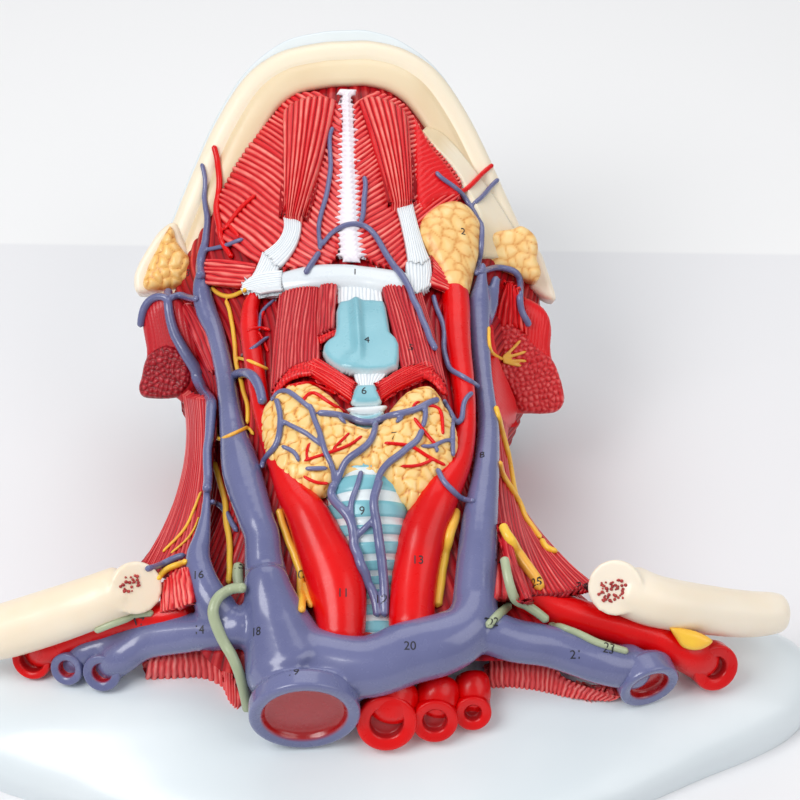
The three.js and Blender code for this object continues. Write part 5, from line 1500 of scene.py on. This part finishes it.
def vesselTree(name, vessels, look, nodes, voxel):
    rods, mouths = [], []
    for vessel in vessels:
        places, radii = routePlaces(vessel)
        if "facing" in vessel:  # a short straight collar, square to the cut, ends the vessel
            facing = unit(vessel["facing"])
            square = vessel.get("square", radii[0] * vesselForm["collar"] + vesselForm["collarExtra"])
            collar = squareCollar(places[0], facing, square)
            # steps a touch short, so that the last of the whole rings isn't lost
            shape = {"step": square / mouth["rings"] * .999, "rounding": (0, radii[0] * vesselForm["collarRound"])}
            rods.append(rod(name, collar, [radii[0]] * 3, vesselForm["sides"], skip=mouth["skip"], **shape))
            rings = sweep(collar, [radii[0]] * 3, vesselForm["mouthSides"], **shape)
            mouths.append(addMouth(vessel["mouthName"], rings, facing, vessel["lumen"]))
            places[0] = collar[-1]
        ends = [radii[end] * vesselForm["endRound"] for end in (0, -1)]
        rods.append(rod(name, places, radii, vesselForm["sides"], step=1.0, rounding=ends))
    body = fuse(name, rods, voxel, vesselForm["smoothing"])
    mark(body, "lumen", np.zeros(len(body.data.vertices)))
    settle(joinPieces(name, [body] + mouths), look, look, *nodes)


vesselTree("great_vein_tree", veins, "vein", veinNodes, .62)

arteries = [
    {"name": "arch_stump_first", "node": "arch_artery_first", "lumen": .55, "facing": (0, -.93, .37),
     "raised": [(386.6, 723, 6.8, 21.5), (391, 697, 6.5, 23), (394, 678, 5.8, 25)]},
    {"name": "arch_stump_second", "node": "arch_artery_second", "lumen": .52, "facing": (0, -.93, .37),
     "raised": [(435, 721, 5.2, 20.5), (437, 696, 5.2, 22), (438, 676, 4.8, 24)]},
    {"name": "arch_stump_third", "node": "arch_artery_third", "lumen": .45, "facing": (0, -.93, .37),
     "raised": [(473, 713, 4.2, 20.2), (473, 692, 4.2, 21.5), (470, 670, 4, 24)]},
    {"name": "arm_artery_right", "node": "subclavian_artery_right", "lumen": .62, "facing": (-.25, -.88, .4),
     "raised": [(31.7, 660, 4.7, 20.8), (50, 646, 4.2, 23), (80, 633, 4, 26), (120, 622, 3.8, 29.5),
                (165, 616, 3.6, 33), (195, 610, 3.2, 35)]},
    {"name": "arm_artery_left", "node": "subclavian_artery_left", "lumen": .48, "facing": (.25, -.88, .4),
     "raised": [(715.7, 668, 5.5, 21.4), (690, 654, 4.8, 23.5), (650, 636, 4.2, 28), (587, 619, 4.1, 31.5),
                (545, 604, 4, 34.5), (510, 588, 3.5, 37)]},
    {"name": "neck_artery_left", "node": "carotid_left", "seen": [
        (411, 640, 5.2, -.5), (413, 595, 5.3, -.5), (418, 560, 5.4, -.5), (425, 530, 5.4, -.3), (440, 495, 4.6, 0),
        (457, 467, 3.2, 0), (464, 441, 2.7, 0), (465, 409, 2.7, 0), (462, 377, 3, 0), (458, 345, 3.3, 0),
        (456, 300, 3.5, 0), (455, 285, 3.4, -1)]},
    {"name": "neck_artery_right", "node": "carotid_right", "seen": [
        (338, 652, 5.4, -1), (341, 630, 5.6, -.5), (336, 583, 6.7, 0), (318, 538, 5.8, 0), (306, 513, 4.9, 0),
        (292, 492, 3.8, 0), (282, 471, 2.9, 0), (274, 453, 2.5, -.2), (266, 428, 2.3, -.1), (260, 398, 2.4, .1),
        (255, 362, 2.5, .4), (251, 328, 2.5, .6), (252, 304, 2.1, .4), (258, 292, 1.6, 0)]},
]
for artery in arteries:
    vessel = {**artery, "mouthName": artery["name"] + "_mouth"}
    vesselTree(artery["name"], [vessel], "artery", [artery["node"]], .55)
print("great vessels done")

# Thin vessels and nerves are drawn as the camera sees them and laid on what is under them
laying = {
    "step": 3.0,
    "rounds": 6,
    "tipShare": .12,  # how much thinner a line is at its ends
    "endRound": .7,
    "sides": 12,
    "pitch": .8,
    "smoothing": 3,
}


def seatTrees():
    graph = bpy.context.evaluated_depsgraph_get()
    shown = [piece for piece in bpy.data.objects if piece.type == "MESH" and piece.get("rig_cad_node") is None]
    return [BVHTree.FromObject(piece, graph) for piece in shown]


def nearestHit(start, ray, *reach):  # place, direction towards the camera and distance of what a ray meets first
    best = None
    for tree in seats:
        place, normal, _, distance = tree.ray_cast(Vector(start * mm), Vector(ray), *reach)
        if place is not None and (best is None or distance < best[2]):
            best = (np.array(place) / mm, np.array(normal), distance)
    if best is None:
        return None
    place, normal, distance = best
    return place, normal if np.dot(normal, forward) < 0 else -normal, distance


def drape(pixels):  # places and outward directions along a drawn line
    pixels = np.array(pixels, float)
    reach = runAlong(pixels)
    even = np.linspace(0, reach[-1], max(int(reach[-1] / laying["step"]), 2) + 1)
    hits = [nearestHit(eye, pictureRay(x, y)) for x, y in curveAt(reach, pixels, even)]
    places, normals = (np.array([hit[k] for hit in hits if hit]) for k in (0, 1))
    for _ in range(laying["rounds"]):
        for row in (places, normals):
            row[1:-1] = (row[:-2] + 2 * row[1:-1] + row[2:]) / 4
    return places, unit(normals)


def drapedTree(name, lines, look, nodes, voxel):
    rods = []
    for radius, lift, pixels in lines:
        if len(pixels[0]) == 3:  # a line that bridges gaps has its heights given
            places, normals = np.array([seenAt(*spot) for spot in pixels]), np.zeros((len(pixels), 3))
        else:
            places, normals = drape(pixels)
        along = np.linspace(0, 1, len(places))
        widths = np.atleast_1d(radius)  # one radius, or several that follow each other along the line
        radii = np.interp(along, np.linspace(0, 1, len(widths)), widths)
        radii = radii * (1 - laying["tipShare"] * np.abs(2 * along - 1))
        ends = [radii[end] * laying["endRound"] for end in (0, -1)]
        rods.append(rod(name, places + normals * (radii * lift)[:, None], radii, laying["sides"],
                        step=laying["pitch"], rounding=ends))
    settle(fuse(name, rods, voxel, laying["smoothing"]), look, look, *nodes)


seats = seatTrees()

# A line is its radius, its lift in radii and its picture points, with heights where it bridges a gap
thinVeins = {
    "front_vein": (["anterior_jugular_vein"], [
        (.7, .8, [(331, 126), (330, 141), (331, 163), (328, 192), (322, 214), (319, 229), (320, 244), (321, 251)]),
        (.85, .8, [(321, 251), (313, 264), (305, 276)]),
        ((.7, .9, .95), .8, [(321, 248), (328, 238), (338, 229), (349, 225), (362, 225), (370, 230), (378, 241),
                             (384, 253), (392, 265), (400, 275), (407, 287), (416, 307), (423, 324), (429, 340),
                             (436, 353)]),
        (.75, .8, [(365, 177), (366, 187), (364, 203), (363, 219), (360, 225)]),
    ]),
    "face_vein_left": (["facial_vein_left", "retromandibular_vein_left"], [
        ((.7, .7, .9), .8, [(434, 171), (440, 179), (450, 185), (458, 192), (466, 200), (472, 206), (476, 213),
                            (480, 222), (480, 233), (479, 248), (478, 262), (478, 276)]),
        (.7, .8, [(474, 205), (482, 197), (490, 187), (500, 177)]),
        ((.95, .9, 1.05), .8, [(480, 274), (490, 269), (503, 268), (514, 269), (520, 273), (520, 281), (521, 297),
                               (524, 313), (528, 327)]),
    ]),
    "face_vein_right": (["facial_vein_right"], [
        ((.7, .75, 1.1, 1.5), .8, [(202, 163), (205, 175), (205, 192), (206, 207), (209, 222), (209, 236), (205, 251),
                                   (202, 266), (201, 280)]),
        (.65, .8, [(205, 251), (221, 248), (233, 244), (246, 238)]),
        ((1.2, 1.5, 1.7, 1.4, 1.2, 1.3), .8, [
            (169, 286), (169, 309), (173, 328), (184, 349), (195, 368), (206, 387), (212, 401), (211, 412),
            (209, 441), (207, 470), (207, 494)]),
        (1.1, .8, [(170, 301), (163, 297), (154, 300), (147, 308), (144, 319), (143, 331)]),
        (1.0, .8, [(170, 300), (181, 296), (191, 298), (199, 300)]),
    ]),
    "gland_veins": (["thyroid_veins"], [
        (.9, .7, [(315, 413), (337, 416), (354, 420), (373, 421), (396, 416), (420, 409), (428, 403), (439, 401)]),
        (.8, .7, [(277, 399), (281, 420), (279, 442), (271, 453), (260, 469)]),
        (.7, .7, [(272, 402), (275, 395), (288, 391), (300, 400), (315, 413)]),
        (.65, .7, [(282, 421), (310, 436), (324, 447)]),
        (.75, .7, [(310, 405), (315, 420), (324, 447), (326, 454), (332, 467), (333, 482)]),
        (.55, .7, [(337, 417), (347, 425)]),
        (.9, .7, [(374, 421), (376, 429), (369, 445), (351, 458), (340, 473), (332, 488)]),
        (.9, .7, [(422, 429), (417, 442), (405, 450), (385, 467), (377, 482), (373, 502)]),
        (.7, .7, [(425, 406), (425, 420), (422, 429)]),
        (.6, .7, [(405, 416), (395, 424)]),
        (.65, .7, [(446, 406), (451, 417), (458, 425), (465, 417)]),
        (.65, .7, [(451, 417), (452, 442), (452, 458)]),
        (.55, .7, [(420, 447), (437, 447), (439, 442), (452, 440)]),
        (.5, .7, [(437, 447), (436, 454)]),
        (.75, .7, [(436, 467), (442, 481), (452, 492), (461, 500), (476, 502)]),
        (.6, .7, [(304, 469), (329, 468)]),
        (.6, .7, [(281, 446), (296, 454), (300, 464)]),
        (.75, .7, [(362, 471), (358, 486), (351, 508), (356, 528)]),
        (1.2, .8, [(333, 480), (335, 500), (350, 516), (355, 535), (356, 563), (365, 579), (373, 593), (378, 619)]),
        (1.2, .8, [(379, 480), (373, 502), (376, 523), (380, 555), (383, 586), (384, 619)]),
        (.8, .8, [(355, 536), (363, 531), (369, 525), (375, 517)]),
        (1.3, .8, [(236, 378), (243, 374), (251, 374), (256, 382), (260, 392), (263, 407)]),
        (.75, .8, [(432, 295), (436, 311), (442, 324), (444, 335), (443, 345), (444, 356), (448, 367), (458, 375),
                   (466, 380), (472, 385), (480, 388)]),
        (.7, .8, [(472, 393), (466, 398), (463, 409), (463, 422), (458, 427), (452, 420), (447, 409), (442, 401)]),
        (.5, .7, [(258, 331), (260, 316), (268, 306), (277, 299)]),
        (.55, .7, [(270, 337), (258, 345), (251, 351), (243, 356)]),
    ]),
    "flank_veins": ([], [
        (.85, .8, [(144, 569), (154, 568), (165, 565), (176, 559), (186, 556)]),
        (.75, .8, [(210, 503), (220, 505), (227, 512), (232, 523), (238, 533)]),
    ]),
}
thinArteries = {
    "face_artery_right": (["facial_artery_right"], [
        (.9, .8, [(214, 145), (216, 154), (219, 166), (220, 185), (218, 200), (218, 214), (221, 229), (224, 244),
                  (233, 260)]),
        (.6, .8, [(225, 231), (233, 219), (243, 207), (257, 195)]),
        (.55, .8, [(229, 224), (236, 232), (240, 239)]),
    ]),
    "face_artery_left": ([], [
        (.7, .8, [(455, 190), (463, 193), (471, 185), (479, 177), (487, 169), (492, 165)]),
    ]),
    "gland_arteries": ([], [
        (.5, .6, [(300, 406), (311, 392), (328, 403), (346, 413)]),
        (.5, .6, [(285, 388), (310, 384), (337, 395)]),
        (.45, .6, [(303, 461), (326, 454), (351, 445), (363, 435)]),
        (.4, .6, [(332, 450), (351, 432)]),
        (.4, .6, [(307, 460), (306, 447), (311, 442)]),
        (.45, .6, [(302, 475), (317, 483), (330, 483)]),
        (.5, .6, [(383, 443), (410, 446), (433, 460), (446, 466)]),
        (.45, .6, [(399, 466), (417, 466), (433, 460)]),
        (.5, .6, [(413, 417), (417, 423), (437, 447)]),
        (.45, .6, [(411, 409), (414, 402), (421, 402)]),
        (.5, .6, [(426, 406), (439, 408), (443, 436)]),
    ]),
    "outer_artery_right": ([], [
        (.55, .6, [(246, 332), (254, 329), (260, 329), (266, 329), (272, 331)]),
        (.5, .6, [(257, 331), (263, 341), (269, 353)]),
        (.5, .6, [(259, 330), (261, 318), (266, 310)]),
    ]),
}
nerveLines = {
    "vagus_cord_right": (["vagus_nerve_right"], [
        (1.0, .7, [(279, 509), (287, 537), (295, 556), (301, 576), (300, 614)]),
        (.8, .7, [(304, 582), (314, 608)]),
    ]),
    "vagus_cord_left": (["vagus_nerve_left"], [
        (1.4, .4, [(456, 510), (451, 522), (446, 537), (443, 557), (439, 587), (437, 609)]),
    ]),
    "phrenic_cord_right": (["phrenic_nerve_right"], [
        (.8, .8, [(216, 463), (221, 481), (227, 503), (227, 520), (230, 537), (231, 556), (229, 586)]),
        (.42, .8, [(202, 491), (196, 506), (186, 528), (175, 541), (161, 554)]),
        (.35, .8, [(200, 517), (192, 534), (182, 545), (169, 555)]),
        (.8, .7, [(157, 579), (168, 570), (182, 565), (188, 562)]),
    ]),
    "loop_cord_right": (["ansa_nerve_right"], [
        (.65, .8, [(211, 287), (219, 294), (228, 298), (236, 296), (247, 289)]),
        (.65, .8, [(226, 300), (231, 310), (233, 324), (236, 341), (236, 356), (238, 368), (241, 376), (244, 390),
                   (248, 404), (250, 417), (248, 426)]),
        (.5, .8, [(238, 359), (247, 360), (257, 366), (270, 371)]),
        (.55, .8, [(248, 428), (236, 434), (226, 439), (219, 442), (217, 438), (217, 426)]),
        (.5, .8, [(249, 427), (255, 436)]),
    ]),
    "arm_cord_left": (["brachial_nerve_left"], [
        (.75, .7, [(494, 406), (499, 425), (503, 441), (507, 457), (510, 473), (513, 489), (517, 503)]),
        (.8, .7, [(540, 540), (548, 551), (559, 553), (572, 561)]),
        (.75, .7, [(498, 460), (500, 472), (509, 488), (518, 503), (525, 519), (533, 528), (540, 540)]),
        ((1.2, 1.5, 1.4), .4, [(503, 524), (510, 540), (520, 560), (532, 575), (542, 591)]),
    ]),
    "accessory_fan_left": ([], [
        (.5, .7, [(488, 326), (488, 342), (490, 354), (501, 359)]),
        (.45, .7, [(501, 358), (511, 350), (522, 339)]),
        (.45, .7, [(501, 359), (514, 355), (527, 352)]),
        (.45, .7, [(501, 360), (516, 361), (528, 361)]),
        (.45, .7, [(501, 361), (512, 364), (522, 366)]),
    ]),
}
lymphLines = {
    "lymph_chain_right": (["lymph_duct_right"], [
        (1.4, .4, [(240, 562), (238, 575), (240, 590)]),
        (1.35, 0, [(246, 588, 45), (238, 588, 44), (229, 590, 43), (218, 598, 43), (213, 611, 41.6),
                   (217, 627, 38.6), (225, 644, 35.4), (232, 656, 33.8), (239, 673, 31), (244, 692, 26.6),
                   (248, 712, 21)]),
        (1.0, .4, [(93, 630), (117, 620), (133, 615), (155, 613)]),
    ]),
    "lymph_chain_left": ([], [
        (1.2, 0, [(504, 556, 47.4), (507, 573, 46.2), (511, 589, 44), (516, 600, 41), (526, 605, 39), (538, 613, 37.4),
                  (549, 622, 35.6)]),
        (1.1, .5, [(513, 602), (503, 612), (493, 621), (485, 628)]),
        (.95, .4, [(548, 622), (562, 629), (576, 634), (597, 644), (629, 653)]),
    ]),
}
drawn = [(thinVeins, "vein", .26), (thinArteries, "artery", .24), (nerveLines, "nerve", .24),
         (lymphLines, "lymph", .26)]
for trees, look, voxel in drawn:
    for name, (nodes, lines) in trees.items():
        drapedTree(name, lines, look, nodes, voxel)

# Two scraps of yellow fat beside the arm arteries
fatScraps = [
    ("fat_scrap_left", (690, 640, 31.5), [(669, 627), (690, 630), (706, 636), (713, 642), (700, 650), (684, 648),
                                          (676, 638)]),
    ("fat_scrap_right", (38, 636, 26.5), [(17, 643), (30, 632), (45, 626), (56, 626), (53, 633), (33, 641), (25, 645)]),
]
for name, middle, seen in fatScraps:
    plane = makePlane(seenAt(*middle), -forward)
    piece = reliefPatch(name, planeOutline(plane, seen), pitch=.4, rim=-.5, crown=1, edge=1.5, thickness=2.5,
                        plane=plane)
    settle(piece, "nerve", "gland")
print("thin vessels and nerves done")

# Small black index numbers, wrapped onto what is under them
numbers = {
    "height": 2.8,
    "proud": .07,
    "thickness": .12,
    "above": 1.5,  # where a point starts over its place, and how far down it looks for a surface
    "reach": 4,
    "spots": [(355, 272), (463, 232), (188, 273), (367, 340), (411, 348), (364, 391), (394, 436), (482, 455),
              (362, 511), (298, 575), (343, 593), (380, 600), (418, 560), (199, 630), (238, 565), (198, 575),
              (139, 622), (256, 632), (293, 672), (410, 646), (576, 655), (494, 622), (608, 650), (498, 562),
              (536, 582), (582, 585)],
}


def makeFigure(text, place, normal):
    across = unit(level - normal * np.dot(level, normal))
    up = np.cross(normal, across)
    bpy.ops.object.text_add()
    figure = bpy.context.object
    figure.data.body = text
    figure.data.align_x, figure.data.align_y = "CENTER", "CENTER"
    figure.data.size = numbers["height"] * mm
    figure.data.extrude = 0
    activate(figure)
    bpy.ops.object.convert(target="MESH")
    points = []
    for px, py, _ in readPoints(figure) / mm:
        flat = place + across * px + up * py
        hit = nearestHit(flat + normal * numbers["above"], -normal, numbers["reach"] * mm)
        points.append((hit[0] if hit else flat) + normal * numbers["proud"])
    setPoints(figure, points)
    thicken(figure, numbers["thickness"])
    return figure


def makeNumbers():
    hits = [nearestHit(eye, pictureRay(x, y)) for x, y in numbers["spots"]]
    figures = [makeFigure(str(index + 1), *hit[:2]) for index, hit in enumerate(hits) if hit]
    return settle(joinPieces("index_numbers", figures), "ink", "base", angle=30)


seats = seatTrees()
makeNumbers()
print("numbers done")

# Floor, backdrop and light
stageSizes = {"width": 4000, "edge": [(0, 245), (800, 256)], "blend": 1.5, "table": (236, 236, 238),
              "backdrop": (245, 245, 245), "roughness": .7}


def makeStage():
    material, tree, shader = startMaterial("stagePaint")
    coordinates = tree.nodes.new("ShaderNodeTexCoord")
    first, last = (seenAt(x, y, 0) for x, y in stageSizes["edge"])  # the far edge of the table, straight across
    slope = (last[1] - first[1]) / (last[0] - first[0])
    past = tree.nodes.new("ShaderNodeVectorMath")
    past.operation = "DOT_PRODUCT"
    past.inputs[1].default_value = (-slope, 1, 0)
    tree.links.new(coordinates.outputs["Object"], past.inputs[0])
    edge = (first[1] - slope * first[0]) * mm
    far = rangeOf(tree, past.outputs["Value"], edge, edge + stageSizes["blend"] * mm)
    colour = mixColours(tree, far, paint(*stageSizes["table"]), paint(*stageSizes["backdrop"]))
    feed(tree, shader.inputs["Base Color"], colour)
    feed(tree, shader.inputs["Roughness"], stageSizes["roughness"])
    bpy.ops.mesh.primitive_plane_add(size=stageSizes["width"] * mm)
    floor = bpy.context.object
    floor.name = "table"
    floor.data.materials.append(material)


makeStage()

lights = [
    {"name": "keyLight", "place": (-420, -260, 620), "size": 420, "power": 3.4},
    {"name": "fillLight", "place": (480, -300, 520), "size": 500, "power": 1.3},
    {"name": "topLight", "place": (60, 420, 700), "size": 600, "power": 1.6},
]
aimHeight = 30
for light in lights:
    bpy.ops.object.light_add(type="AREA", location=Vector(light["place"]) * mm)
    lamp = bpy.context.object
    lamp.name = light["name"]
    lamp.data.energy = light["power"]
    lamp.data.size = light["size"] * mm
    aim = Vector((0, 0, aimHeight * mm)) - lamp.location
    lamp.rotation_euler = aim.to_track_quat("-Z", "Y").to_euler()

room = {"light": (.96, .97, 1, 1), "strength": .42, "backdrop": paint(244, 244, 246)}


def makeWorld():  # soft light for the model, and a plain pale backdrop where the room itself is seen
    world = bpy.data.worlds.new("softRoom")
    bpy.context.scene.world = world
    world.use_nodes = True
    tree = world.node_tree
    light = tree.nodes["Background"]
    light.inputs["Color"].default_value = room["light"]
    light.inputs["Strength"].default_value = room["strength"]
    backdrop = tree.nodes.new("ShaderNodeBackground")
    backdrop.inputs["Color"].default_value = room["backdrop"]
    rays, pick = tree.nodes.new("ShaderNodeLightPath"), tree.nodes.new("ShaderNodeMixShader")
    tree.links.new(rays.outputs["Is Camera Ray"], pick.inputs["Fac"])
    tree.links.new(light.outputs["Background"], pick.inputs[1])
    tree.links.new(backdrop.outputs["Background"], pick.inputs[2])
    tree.links.new(pick.outputs["Shader"], tree.nodes["World Output"].inputs["Surface"])


makeWorld()
bpy.context.scene.view_settings.view_transform = "Standard"
print("stage done")
